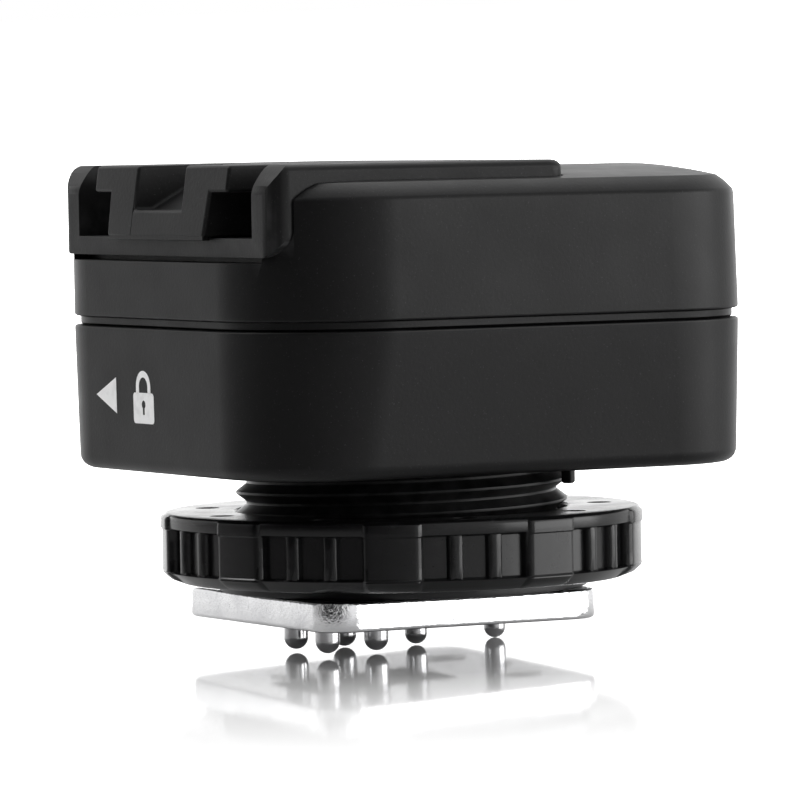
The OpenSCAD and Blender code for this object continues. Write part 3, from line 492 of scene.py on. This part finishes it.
lamp_clear = Finish("lamp_clear", (0.75, 0.8, 0.78), 0.16)
lamp_clear.shader.inputs["Transmission Weight"].default_value = 0.6
lamp_clear.patches(600, (0.6, 0.66, 0.62))
lamp_clear.mottle(900, 0.06)

case_print = Finish("case_print", (0.9, 0.9, 0.9), 0.5)
case_print.patches(1500, (0.72, 0.72, 0.72), 0.5, 0.8)
case_print.mottle(1800, 0.08)
case_print.grain(6000, 0.004)


# Upper case --------------------------------------------------------------

def crown(x, y):
    """Height of the top, arched from one long side of its rim to the other."""
    r = CORNER_R - BEVEL_RUN
    past = max(y - (FRONT - BEVEL_RUN - LEAN - r), REAR + BEVEL_RUN + r - y, 0)
    half = SIDE - BEVEL_RUN - r + sqrt(max(r * r - past * past, 0))
    return RIM_Z + CROWN_H * max(1 - (x / half) ** 2, 0)


def upper_form():
    """Groove, straight side, bevel and crown, without the hollows."""
    groove_top = PART_Z + GROOVE_H
    edge = 0.14
    # Height over the parting line and inset: up the groove's wall and out round its upper edge
    groove = [(0, GROOVE_D + 0.1), (0.1, GROOVE_D), (GROOVE_H - 0.06, GROOVE_D),
              (GROOVE_H, GROOVE_D - 0.06), (GROOVE_H, edge), (GROOVE_H + 0.05, 0.04), (GROOVE_H + edge, 0)]
    loops = [body_loop(PART_Z + height, inset) for height, inset in groove]
    low, high = groove_top + edge, BEVEL_Z - 0.16
    steps = 4
    for k in range(1, steps + 1):
        z = low + (high - low) * k / steps
        loops.append(body_loop(z, 0, 0, LEAN * (z - groove_top) / (BEVEL_Z - groove_top)))
    foot = body_loop(BEVEL_Z, 0, 0, LEAN)
    rim = [(x, y, crown(x, y)) for x, y, _ in body_loop(RIM_Z, BEVEL_RUN, BEVEL_RUN, LEAN)]
    for share in (0.06, 0.16, 0.3, 0.5, 0.7, 0.84, 0.94):
        bulge = BULGE * sin(pi * share)
        inward = [between(a, b, share - bulge) for a, b in zip(foot, rim)]
        upward = [between(a, b, share + bulge) for a, b in zip(foot, rim)]
        loops.append([(x, y, z) for (x, y, _), (_, _, z) in zip(inward, upward)])
    loops.append(rim)
    for share in (0.993, 0.97, 0.93, 0.88, 0.82, 0.75, 0.67, 0.58, 0.48, 0.37, 0.25, 0.12):
        loops.append([(x * share, y * share, crown(x * share, y * share)) for x, y, _ in rim])
    return loft("upper_case_shell", loops)


def tray_seat():
    """Cutters for the insert: the tray's trough, the ledge at its rear and the top plate's seat."""
    half, r, floor_z = INSERT_HI.x + SLACK, 1.6, INSERT_LO.z
    behind, high = REAR - 2 * PAST, RIM_Z + 4 * PAST
    right = arc(half - r, floor_z - SEAT + r, r, 0, -90, 9)
    left = [(-x, z) for x, z in right]
    section = [(-half, high), *left, *reversed(right), (half, high)]
    trough = prism("cutter", section, behind, TRAY_FRONT + SLACK)
    ledge = block(-half + r, behind, floor_z - 0.3, half - r, REAR + WALL + 0.4, floor_z + 0.5)
    corners = [0.5, CAP_R, CAP_R, 0.5]
    plate_front = INSERT_HI.y + SLACK / 2
    plate = [rounded(-half, behind, half, plate_front, corners, z, 10) for z in (RIM_Z - 0.01, high)]
    return [trough, ledge, loft("cutter", plate)]


def hollow():
    """Cutters for the room under the tray's shelf and the higher room in front of it."""
    shelf_t, closing_wall, inner_r = 1.0, 1.2, CORNER_R - WALL
    shelf_z, ceiling_z = INSERT_LO.z - shelf_t, RIM_Z - 1.1
    corners = [1, inner_r, inner_r, 1]
    front = [rounded(WALL - SIDE, TRAY_FRONT + SLACK + closing_wall, SIDE - WALL, FRONT - WALL - LEAN,
                     corners, z, 8) for z in (shelf_z - PAST, ceiling_z)]
    return [loft("cutter", [body_loop(PART_Z - PAST, WALL), body_loop(shelf_z, WALL)]),
            loft("cutter", front)]


def openings():
    """Cutters for the light pipe, the switch's stem and the test button."""
    rim_z = LENS_HI.z
    x, y, _ = middle(LENS_LO, LENS_HI)
    bore_r = (LENS_HI.x - LENS_LO.x) / 2 + 0.03
    sink_r = bore_r + 0.32
    lamp = lathe("cutter", [(bore_r, RIM_Z - 2.5), (bore_r, rim_z - 0.2), (sink_r, rim_z + 0.2),
                            (sink_r, rim_z + 2)], 40, (x, y))
    _, y, z = middle(KNOB_LO, KNOB_HI)
    half_l, half_h = STEM_HALF_L + SLACK, STEM_HALF_H + SLACK
    outside, inside = -SIDE - PAST, -SIDE + WALL + 0.5
    stem = block(outside, y - half_l, z - half_h, inside, y + half_l + SWITCH_TRAVEL, z + half_h)
    _, y, z = middle(BUTTON_LO, BUTTON_HI)
    button = lathe("cutter", [(BUTTON_R + FIT, outside), (BUTTON_R + FIT, inside)], 48)
    button.data.transform(Matrix.Translation((0, y, z)) @ Matrix.Rotation(radians(90), 4, "Y"))
    return [lamp, stem, button]


def upper_case():
    """The upper shell with its crowned top, hollows, seats and openings."""
    shell = upper_form()
    boolean(shell, tray_seat() + hollow() + openings())
    soften(shell, 0.16, 3)
    finished(shell, "body", "case_black", ["upper_case"])


# Lower case --------------------------------------------------------------

def lower_form():
    """Drafted sides over a rounded underside, without the hollow."""
    top = PART_Z - 0.03
    side_z = BOTTOM_Z + EDGE_R
    loops = []
    for angle in range(0, 91, 15):
        rise, inset = EDGE_R * (1 - cos(radians(angle))), EDGE_R * (1 - sin(radians(angle)))
        loops.append(body_loop(BOTTOM_Z + rise, SIDE_DRAFT + inset, END_DRAFT + inset))
    steps = 4
    for k in range(1, steps + 1):
        z = side_z + (top - 0.15 - side_z) * k / steps
        share = 1 - (z - side_z) / (PART_Z - side_z)
        loops.append(body_loop(z, SIDE_DRAFT * share, END_DRAFT * share))
    loops += [body_loop(top - 0.05, 0.03), body_loop(top, 0.14)]
    return loft("lower_case_shell", loops)


def lower_case():
    """The lower shell with the post's and the drawer's openings, screw bosses and the ring's stop."""
    shell = lower_form()
    side_gap, low_gap = 0.1, 0.08
    cuts = [loft("cutter", [body_loop(INNER_Z, WALL + SIDE_DRAFT, WALL + END_DRAFT),
                            body_loop(PART_Z - LIP_H - 0.3, WALL), body_loop(PART_Z + PAST, WALL)]),
            lathe("cutter", [(ROOT_R + SLACK, BOTTOM_Z - PAST), (ROOT_R + SLACK, INNER_Z + PAST)], 96),
            block(DRAWER_LO.x - side_gap, FRONT - WALL - 1.2, DRAWER_LO.z - low_gap,
                  DRAWER_HI.x + side_gap, FRONT + 2 * PAST, PART_Z + 2 * PAST)]
    head_r, sink_h, bore_r, boss_r = 1.6, 1.6, 0.9, 2.0
    sink_r = head_r + SLACK
    screw_x, screw_y = CASE_SCREW_HI.x - head_r, middle(CASE_SCREW_LO, CASE_SCREW_HI)[1]
    sink = [(sink_r + 0.2, BOTTOM_Z - PAST), (sink_r + 0.2, BOTTOM_Z + SEAT), (sink_r, BOTTOM_Z + 0.2),
            (sink_r, BOTTOM_Z + sink_h), (bore_r, BOTTOM_Z + sink_h), (bore_r, BOTTOM_Z + 5)]
    cuts += [lathe("cutter", sink, 40, (x, screw_y)) for x in (-screw_x, screw_x)]
    boolean(shell, cuts)
    soften(shell, 0.12)
    stop_in, stop_out, stop_half, stop_angle = 10.05, 10.68, 0.36, 38.5
    stop_z = RING_HI.z + 1.45
    levels = ((stop_z, 0.1), (stop_z + 0.1, 0), (BOTTOM_Z + 0.3, 0))
    stop = loft("lug", [rounded(stop_in + d, d - stop_half, stop_out - d, stop_half - d, 0.12, z, 4)
                        for z, d in levels])
    stop.data.transform(Matrix.Rotation(radians(stop_angle), 4, "Z"))
    boss = [(boss_r, INNER_Z - 0.5), (boss_r, PART_Z - 0.1), (bore_r, PART_Z - 0.1), (bore_r, INNER_Z)]
    joined(shell, [stop] + [lathe("boss", boss, 32, (x, screw_y)) for x in (-screw_x, screw_x)])
    finished(shell, "body", "case_black", ["lower_case"])


def marks():
    """Printed arrow and closed padlock on the rear face."""
    def print_plate(outline):
        """A thin plate along the face, from just proud of it to just inside it."""
        loops = []
        for depth in (-0.012, 0.05):
            loops.append([(x, REAR + END_DRAFT * (PART_Z - z) / (PART_Z - BOTTOM_Z - EDGE_R) + depth, z)
                          for x, z in outline])
        return loft("print", loops)

    mid, tip_x, base_x = PART_Z - 3.95, -7.3, -4.7
    arrow = print_plate([(tip_x, mid), (base_x, mid - 1.02), (base_x, mid + 1.04)])
    x, low, half = -1.2, mid - 1.5, 1.3
    padlock = print_plate([(u, v) for u, v, _ in rounded(x - half, low, x + half, low + 1.75, 0.22, 0, 4)])
    hole_half, hole_z = 0.12, low + 0.5
    hole = arc(x, low + 1.08, 0.24, -60, 240, 15) + [(x - hole_half, hole_z), (x + hole_half, hole_z)]
    boolean(padlock, [loft("cutter", [[(u, y, v) for u, v in hole] for y in (REAR - PAST, REAR + PAST)])])
    out_r, in_r, bow_z, foot = 0.92, 0.55, low + 2.08, low + 1.7
    bow = print_plate([(x + out_r, foot), *arc(x, bow_z, out_r, 0, 180, 15), (x - out_r, foot),
                       (x - in_r, foot), *arc(x, bow_z, in_r, 180, 0, 15), (x + in_r, foot)])
    joined(arrow, [padlock, bow])
    arrow.name = "rear_marks"
    finished(arrow, "body", "case_black", finish="case_print")


# Top shoe ----------------------------------------------------------------

def shoe_insert():
    """The tray with its top plate, an open pocket and a sloped rear end."""
    half, r = INSERT_HI.x, 1.3
    low, top, rear, front = INSERT_LO.z, INSERT_HI.z, INSERT_LO.y, INSERT_HI.y
    corners = [1.2, CAP_R, CAP_R, 1.2]
    # Height and inset, up to the rounded top edge
    levels = [(low, 0), (top - 0.42, 0), (top - 0.26, 0.04), (top - 0.12, 0.14), (top - 0.03, 0.28),
              (top, 0.45)]
    loops = [rounded(d - half, rear, half - d, front - d, corners, z, 10) for z, d in levels]
    tray = loft("shoe_insert_skin", loops)
    out = half + PAST
    section = [*arc(half - r, low + r, r, -90, 0, 9), (out, low + r), (out, top + PAST),
               (-out, top + PAST), (-out, low + r), *arc(r - half, low + r, r, 180, 270, 9)]
    boolean(tray, [prism("cutter", section, rear - PAST, front + PAST)], "INTERSECT")
    # How far forward of the rear end, and how far below the top
    slope = [(0, 1.65), (0.05, 1.4), (0.15, 1.13), (0.35, 0.8), (0.65, 0.4), (0.87, 0.17), (1.12, 0)]
    end = [(rear - PAST, top - slope[0][1]), *[(rear + y, top - drop) for y, drop in slope],
           (rear + slope[-1][0], top + PAST), (rear - PAST, top + PAST)]
    boolean(tray, [block(-FAR, TRAY_FRONT, low - PAST, FAR, front + PAST, RIM_Z),
                   block(-POCKET_HALF, rear - PAST, POCKET_Z, POCKET_HALF, front - POCKET_BACK, top + PAST),
                   prism("cutter", end, -FAR, FAR, "x")])
    soften(tray, 0.22, 4)
    finished(tray, "body", "insert_black", ["shoe_insert"])


def shoe_rail():
    """The T-shaped rail with its latch notch, contact slots and the lip behind the tray's floor."""
    lip_h, flange_t, set_in = 0.15, 1.5, 0.1
    low, top, front = RAIL_LO.z + lip_h, RAIL_HI.z, RAIL_HI.y
    under, rear, half = top - flange_t, RAIL_LO.y + set_in, RAIL_HI.x - set_in
    foot_half, web_half, lip_half = 6.1, 6.3, 6.0
    section = [(-foot_half, low), (foot_half, low), (web_half, under), (half, under), (half, top),
               (-half, top), (-half, under), (-web_half, under)]
    rail = prism("shoe_rail_skin", section, rear, front)
    # The rear end leans forward towards the top
    for vertex in rail.data.vertices:
        if vertex.co.y < rear + 0.01:
            vertex.co.y = rear + 0.15 * (vertex.co.z - low)
    notch_z, notch_y = top - NOTCH_D, rear + NOTCH_FLAT
    ramp = [(rear - PAST, notch_z), (notch_y, notch_z), (notch_y + NOTCH_RUN, top),
            (notch_y + NOTCH_RUN, top + PAST), (rear - PAST, top + PAST)]
    cuts = [prism("cutter", ramp, -NOTCH_HALF, NOTCH_HALF, "x")]
    slot_rear, slot_front, slot_z = front - 5.2, front - 1, top - 1
    for i in range(SLOTS):
        x = (i - (SLOTS - 1) / 2) * SLOT_PITCH
        cuts.append(block(x - SLOT_HALF, slot_rear, slot_z, x + SLOT_HALF, slot_front, top + PAST))
    boolean(rail, cuts)
    soften(rail, 0.2, 4)
    # A fine seam beside the notch
    seam = block(-NOTCH_HALF - 0.15, rear - PAST, low - PAST, -NOTCH_HALF - 0.09, rear + 0.4, notch_z + 0.1)
    boolean(rail, [seam])
    lip = block(-lip_half, rear + 0.06, RAIL_LO.z, lip_half, INSERT_LO.y - SLACK / 2, low + 0.2)
    joined(rail, [soften(lip, 0.05)])
    finished(rail, "body", "rail_black", ["shoe_rail"])


# Post and lock ring ------------------------------------------------------

def threaded_post():
    """The post with a helical thread, its neck, and the flange and disc above."""
    count, phase = 120, 0.32
    # Shares of a pitch: the thread starts to rise, is at its crest, starts to fall, is back at its root
    shares = rise, crest, crest_end, root = 0.06, 0.44, 0.56, 0.94
    levels = [k + share - phase for k in range(-1, 6) for share in shares]

    def radius(share):
        """Radius of the thread at a share of its pitch."""
        share = share % 1
        if share < rise or share > root:
            return ROOT_R
        if share < crest:
            return ROOT_R + (CREST_R - ROOT_R) * (share - rise) / (crest - rise)
        if share <= crest_end:
            return CREST_R
        return CREST_R - (CREST_R - ROOT_R) * (share - crest_end) / (root - crest_end)

    verts, faces = [], []
    for i in range(count):
        turn = i / count
        for level in levels:
            z = min(max(NECK_TOP + (level + turn) * PITCH, NECK_TOP), BOTTOM_Z)
            r = radius((z - NECK_TOP) / PITCH - turn + phase)
            verts.append((r * cos(2 * pi * turn), r * sin(2 * pi * turn), z))
    # The last column meets the first one a whole pitch, or four levels, further up
    rows, pitch_rows = len(levels), len(shares)
    for i in range(count):
        for j in range(rows - 1):
            if i < count - 1:
                faces.append((i * rows + j, (i + 1) * rows + j, (i + 1) * rows + j + 1, i * rows + j + 1))
            elif j + pitch_rows + 1 < rows:
                faces.append((i * rows + j, j + pitch_rows, j + pitch_rows + 1, i * rows + j + 1))
    post = weld(make("threaded_post_skin", verts, faces), 0.0008)

    def close(work):
        bmesh.ops.holes_fill(work, edges=[edge for edge in work.edges if edge.is_boundary], sides=0)
        bmesh.ops.recalc_face_normals(work, faces=work.faces)

    edited(post, close)
    top = POST_HI.z
    neck = loft("neck", [circle(ROOT_R - FIT, z, 96) for z in (PLATE_HI.z, NECK_TOP + 0.2)])
    boolean(neck, [block(-NECK_HALF, -FAR, 0, NECK_HALF, NECK_FRONT, 5)], "INTERSECT")
    flange = loft("flange", [rounded(POST_LO.x, POST_LO.y, POST_HI.x, POST_HI.y, 2, z, 8)
                             for z in (top - 1, top)])
    disc = loft("disc", [circle(ROOT_R, z, 96) for z in (BOTTOM_Z - 0.1, top - 0.2)])
    boolean(post, [neck, disc, flange], "UNION")
    bore_z = 5
    bore = lathe("cutter", [(BORE_R, bore_z), (BORE_R, top + PAST)], 72)
    well_half, well_back, well_front, well_top = 3.25, 7.3, 1.7, 6
    well = block(-well_half, -well_back, PLATE_HI.z - PAST, well_half, well_front, well_top)
    boolean(post, [bore, well])
    soften(post, 0.05, angle=25)
    finished(post, "body", "black_post", ["threaded_post"], 30)


def both_ways(steps):
    """Steps to one side of a middle, and the same to the other side."""
    return [-step for step in reversed(steps) if step] + list(steps)


def lock_ring():
    """The knurled ring: nine grip pads with two ribs between each pair."""
    low, top = RING_LO.z, RING_HI.z
    grip_low, grip_top = low + 0.7, top - 0.84
    # Length of one degree at the grips
    degree = radians(1) * 13.8
    ribs = (SECTOR / 2 - RIB_OFFSET, SECTOR / 2 + RIB_OFFSET)
    # Angles of the outline's points within a sector, closest at the edges of its pad and ribs
    rib_steps = both_ways((0, 0.9, 1.4, 1.75, 2, 2.1))
    places = both_ways((0, 2, 4, 5.3, 5.7, 6.2, 6.6, 6.9, 7.1, 7.25, 7.35)) + [9, 11]
    places += [ribs[0] + step for step in rib_steps] + [18, 20, 22]
    places += [ribs[1] + step for step in rib_steps] + [29, 31]
    angles = [(FIRST_PAD + SECTOR * k + place, place) for k in range(PADS) for place in places]

    def step(distance, height, r):
        """Height at a distance, in millimetres, inside a round-edged step."""
        if distance < 0:
            return 0
        if distance >= r:
            return height
        return height - r + sqrt(r * r - (r - distance) ** 2)

    def relief(place):
        """Radius of the grip at an angle within a sector, and whether that is on a pad."""
        pad = min(abs(place), abs(place - SECTOR))
        r = FLUTE_R + step((PAD_HALF - pad) * degree, RING_HI.x - FLUTE_R, 0.46)
        for rib in ribs:
            r = max(r, FLUTE_R + step((RIB_HALF - abs(place - rib)) * degree, RIB_R - FLUTE_R, 0.38))
        return r, pad < PAD_HALF

    def level(z, radius):
        """A loop at a height, with its radius from the grip's own radius and whether that is on a pad."""
        loop = []
        for turn, place in angles:
            r = radius(*relief(place))
            loop.append((r * cos(radians(turn)), r * sin(radians(turn)), z))
        return loop

    def plain(r, z):
        return level(z, lambda grip, on_pad: r)

    def pads(band, z, cut):
        """The band's radius, with only the pads standing out of it."""
        return level(z, lambda grip, on_pad: max(band, grip - cut) if on_pad else band)

    def grips(z):
        """Pads and ribs, the pads a little set in."""
        return level(z, lambda grip, on_pad: max(grip - (0.09 if on_pad else 0), FLUTE_R))

    loops = [plain(RING_FOOT_R - 0.12, low), plain(RING_FOOT_R, low + 0.05)]
    for share in (0.3, 0.6, 0.85):
        loops.append(pads(RING_FOOT_R + (BAND_R - RING_FOOT_R) * share, low + 0.05 + 0.65 * share,
                          0.75 * (1 - share)))
    loops += [pads(BAND_R - 0.05, grip_low - 0.03, 0.12), pads(BAND_R - 0.16, grip_low + 0.03, 0.04),
              grips(grip_low + 0.1), grips(grip_low + 0.8), grips(grip_top - 0.8), grips(grip_top - 0.08),
              pads(BAND_R - 0.14, grip_top, 0), pads(BAND_R - 0.03, grip_top + 0.06, 0),
              pads(BAND_R, grip_top + 0.14, 0), pads(BAND_R, top - 0.3, 0),
              pads(BAND_R - 0.02, top - 0.17, 0.05)]
    # Radius and height, over the top and down the bore to the groove for the pressure plate's collar
    inside = [(BAND_R - 0.06, top - 0.1), (BAND_R - 0.14, top - 0.03), (BAND_R - 0.26, top), (12.6, top),
              (10.3, top), (RING_BORE_R + 0.12, top), (RING_BORE_R, top - 0.12), (RING_BORE_R, low + 1.0),
              (SNAP_R, low + 1.0), (SNAP_R, low + 0.5), (COLLAR_R, low + 0.5), (COLLAR_R, low), (11.5, low)]
    loops += [plain(r, z) for r, z in inside]
    ring = loft("lock_ring_skin", loops, ring=True)
    dimples = []
    for k in range(PADS):
        turn = radians(FIRST_PAD + SECTOR * (k + 0.5))
        dimples.append(lathe("cutter", [(0.56, top - 0.2), (0.7, top - 0.1), (0.7, top + PAST)], 28,
                             (DIMPLE_R * cos(turn), DIMPLE_R * sin(turn))))
    boolean(ring, [joined(dimples[0], dimples[1:])])
    finished(ring, "ring", "ring_gloss", ["lock_ring"], 34)


# Foot --------------------------------------------------------------------

def foot_plate():
    """The cast plate with rounded edges, the contacts' window and holes for the lock pin and screws."""
    low, high = PLATE_LO.z, PLATE_HI.z
    # Height and inset
    levels = ((low, 0.22), (low + 0.07, 0.07), (low + 0.22, 0), (low + 0.85, 0), (high - 0.22, 0),
              (high - 0.07, 0.07), (high, 0.22))
    loops = [rounded(PLATE_LO.x + d, PLATE_LO.y + d, PLATE_HI.x - d, PLATE_HI.y - d, 2 - d, z, 10, 6)
             for z, d in levels]
    plate = loft("foot_plate_skin", loops)
    hole_r = LOCK_PIN_R + SLACK
    above = 3
    cuts = [block(-WINDOW_HALF, -WINDOW_BACK, -PAST, WINDOW_HALF, WINDOW_FRONT, above),
            lathe("cutter", [(hole_r, -PAST), (hole_r, above)], 32, (0, LOCK_PIN_Y))]
    countersink = [(1.42, -PAST), (1.42, 0), (1.32, 0.04), (0.82, 0.52), (0.82, above)]
    for x in (-PLATE_SCREW_X, PLATE_SCREW_X):
        for y in (-PLATE_SCREW_Y, PLATE_SCREW_Y):
            cuts.append(lathe("cutter", countersink, 36, (x, y)))
    boolean(plate, cuts)
    soften(plate, 0.05, angle=40)
    finished(plate, "body", "chrome_plate", ["foot_plate"])


def pin(node, body, shaft_r):
    """A polished pin with a domed end below and a head above."""
    low, high = box_mm(node)
    x, y, _ = middle(low, high)
    head_r = (high.x - low.x) / 2
    profile = arc(0, low.z + shaft_r, shaft_r, -90, 0, 10)
    if node == "lock_pin":
        head_z = high.z - LOCK_HEAD_T
        profile += [(shaft_r, 0), (LOCK_PIN_R, SEAT), (LOCK_PIN_R, head_z), (head_r, head_z),
                    (head_r, high.z - 0.05), (head_r - 0.05, high.z)]
    else:
        profile += [(shaft_r, PIN_HEAD_Z - 0.04), (shaft_r, PIN_HEAD_Z), (head_r, PIN_HEAD_Z),
                    (head_r, PIN_HEAD_TOP), (PIN_STUB_R, PIN_HEAD_TOP + SEAT), (PIN_STUB_R, high.z)]
    finished(lathe(node + "_skin", profile, 40, (x, y)), body, "steel_pins", [node], 40)


def dressed(node, body, slot, width):
    """A CAD node's own form, cleaned and with its edges rounded."""
    mesh = frame["nodes"][node].data.copy()
    mesh.transform(Matrix.Scale(1000, 4))

    def clean(work):
        bmesh.ops.remove_doubles(work, verts=work.verts, dist=0.002)
        bmesh.ops.dissolve_limit(work, angle_limit=radians(1), verts=work.verts, edges=work.edges)

    piece = edited(new_object(node + "_skin", mesh), clean)
    finished(soften(piece, width), body, slot, [node], 40)


upper_case()
lower_case()
marks()
shoe_insert()
shoe_rail()
threaded_post()
lock_ring()
foot_plate()
pin("sync_contact", "sync_pin", 0.65)
for letter in "abcd":
    pin("data_contact_" + letter, "data_pin_" + letter, 0.7)
pin("lock_pin", "clamp", 0.625)

dressed("battery_drawer", "drawer", "case_black", 0.08)
dressed("switch_knob", "knob", "knob_black", 0.05)
dressed("test_button", "button", "button_red", 0.12)
dressed("pressure_plate", "clamp", "plate_black", 0.05)
dressed("contact_block", "body", "black_block", 0.05)
dressed("plate_screws", "body", "bright_screws", 0.04)
dressed("case_screws", "body", "steel_screws", 0.06)
dressed("light_pipe", "body", "lamp_clear", 0.08)
dressed("shoe_contacts", "body", "contact_gold", 0.03)

# The CAD nodes that stay in sight get the finish of their own slot
slots = {row["node"]: row["material_slot"] for row in frame["record"]["subparts"]}
for name, obj in frame["nodes"].items():
    if not obj.hide_render:
        obj.data.materials.clear()
        obj.data.materials.append(FINISHES[slots[name]])


# Stage, light and camera -------------------------------------------------

def softbox(name, centre, direction, size, strength):
    """A soft area lamp, out of the camera's sight."""
    data = bpy.data.lights.new(name, "AREA")
    data.shape = "RECTANGLE"
    data.size, data.size_y = size
    data.energy = strength
    lamp = new_object(name, data)
    lamp.visible_camera = False
    lamp.location = centre
    lamp.rotation_euler = Vector(direction).to_track_quat("-Z", "Y").to_euler()


def floor():
    """A glossy white table whose glow, for the camera only, sets in away from the foot."""
    mat = bpy.data.materials.new("floor")
    mat.use_nodes = True
    nodes, link = mat.node_tree.nodes, mat.node_tree.links.new
    shader = nodes["Principled BSDF"]
    shader.inputs["Base Color"].default_value = (0.6, 0.6, 0.6, 1)
    shader.inputs["Roughness"].default_value = 0.06
    shader.inputs["Specular IOR Level"].default_value = 0.9
    shader.inputs["Emission Color"].default_value = (1, 1, 1, 1)
    away = nodes.new("ShaderNodeVectorMath")
    away.operation = "LENGTH"
    link(nodes.new("ShaderNodeTexCoord").outputs["Object"], away.inputs[0])
    spread = nodes.new("ShaderNodeMapRange")
    for socket, value in (("From Min", 0.015), ("From Max", 0.066), ("To Min", 0.02), ("To Max", 1)):
        spread.inputs[socket].default_value = value
    link(away.outputs["Value"], spread.inputs["Value"])
    glow = nodes.new("ShaderNodeMapRange")
    link(nodes.new("ShaderNodeLightPath").outputs["Is Camera Ray"], glow.inputs["Value"])
    link(spread.outputs["Result"], glow.inputs["To Max"])
    link(glow.outputs["Result"], shader.inputs["Emission Strength"])
    # The sprung pins let the unit stand a little askew, so the table is not quite square to it
    half, drop, fall_x, rise_y = 3, 0.001738, 0.0188, 0.0255
    corners = ((-half, -half), (half, -half), (half, half), (-half, half))
    points = [(x, y, -drop - fall_x * x + rise_y * y) for x, y in corners]
    table = make("floor", points, [(0, 1, 2, 3)])
    table.data.materials.append(mat)


def grey_screen(start, end, shade):
    """A curved grey screen round the object, between two angles, seen only in reflections."""
    radius, low, high, count = 0.9, -0.04, 0.9, 24
    columns = arc(0, 0, radius, start, end, count)
    verts = [(x, y, z) for z in (low, high) for x, y in columns]
    row = count + 1
    screen = make("grey_screen", verts, [(i, i + 1, i + 1 + row, i + row) for i in range(count)])
    mat = bpy.data.materials.new("grey_screen")
    mat.use_nodes = True
    shader = mat.node_tree.nodes["Principled BSDF"]
    shader.inputs["Base Color"].default_value = (shade, shade, shade, 1)
    shader.inputs["Roughness"].default_value = 1
    screen.data.materials.append(mat)
    screen.visible_camera = False


def camera():
    """A long lens that looks down a little on the rear end and the plain side."""
    phi, theta, roll = radians(28.36), radians(2.51), radians(-1.004)
    distance, shift, aim_height = 0.3654, 0.00001, 0.01246
    back = Vector((cos(phi) * cos(theta), -sin(phi) * cos(theta), sin(theta)))
    right = Vector((sin(phi), cos(phi), 0))
    up = back.cross(right)
    rolled_right = cos(roll) * right + sin(roll) * up
    rolled_up = -sin(roll) * right + cos(roll) * up
    data = bpy.data.cameras.new("camera")
    data.sensor_width = 36
    data.lens = 285.075
    data.clip_start = 0.01
    view = Matrix((rolled_right, rolled_up, back)).transposed().to_4x4()
    view.translation = right * shift + Vector((0, 0, aim_height)) + back * distance
    eye = new_object("camera", data)
    eye.matrix_world = view
    bpy.context.scene.camera = eye


floor()
camera()
# Name, centre, direction, size in metres, strength in watts
softbox("softbox_top", (-0.2, 0.2, 0.7), (0.2, -0.2, -0.7), (0.5, 0.5), 1.6)
softbox("softbox_back", (-0.75, 0.41, 0.09), (0.75, -0.41, -0.075), (1.0, 0.13), 0.52)
softbox("softbox_side", (0.53, 0.63, 0.12), (-0.53, -0.63, -0.1), (0.88, 0.4), 5.2)
softbox("softbox_rear", (-0.3, -0.4, 0.5), (0.3, 0.4, -0.48), (0.3, 0.3), 1.8)

# Start and end angle of each screen, and how light a grey it is
SCREENS = ((-148, -138, 0.8), (-138, -128, 0.55), (-128, -118, 0.45), (-118, -108, 0.4), (-108, -98, 0.22),
           (-98, -50, 0.01), (-50, -38, 0.08), (-38, -26, 0.24), (-26, -14, 0.5), (-14, -2, 0.85))
for start, end, shade in SCREENS:
    grey_screen(start, end, shade)

world = bpy.data.worlds.new("studio")
bpy.context.scene.world = world
world.use_nodes = True
background = world.node_tree.nodes["Background"]
background.inputs["Color"].default_value = (1, 1, 1, 1)
background.inputs["Strength"].default_value = 1

bpy.context.scene.view_settings.view_transform = "Standard"
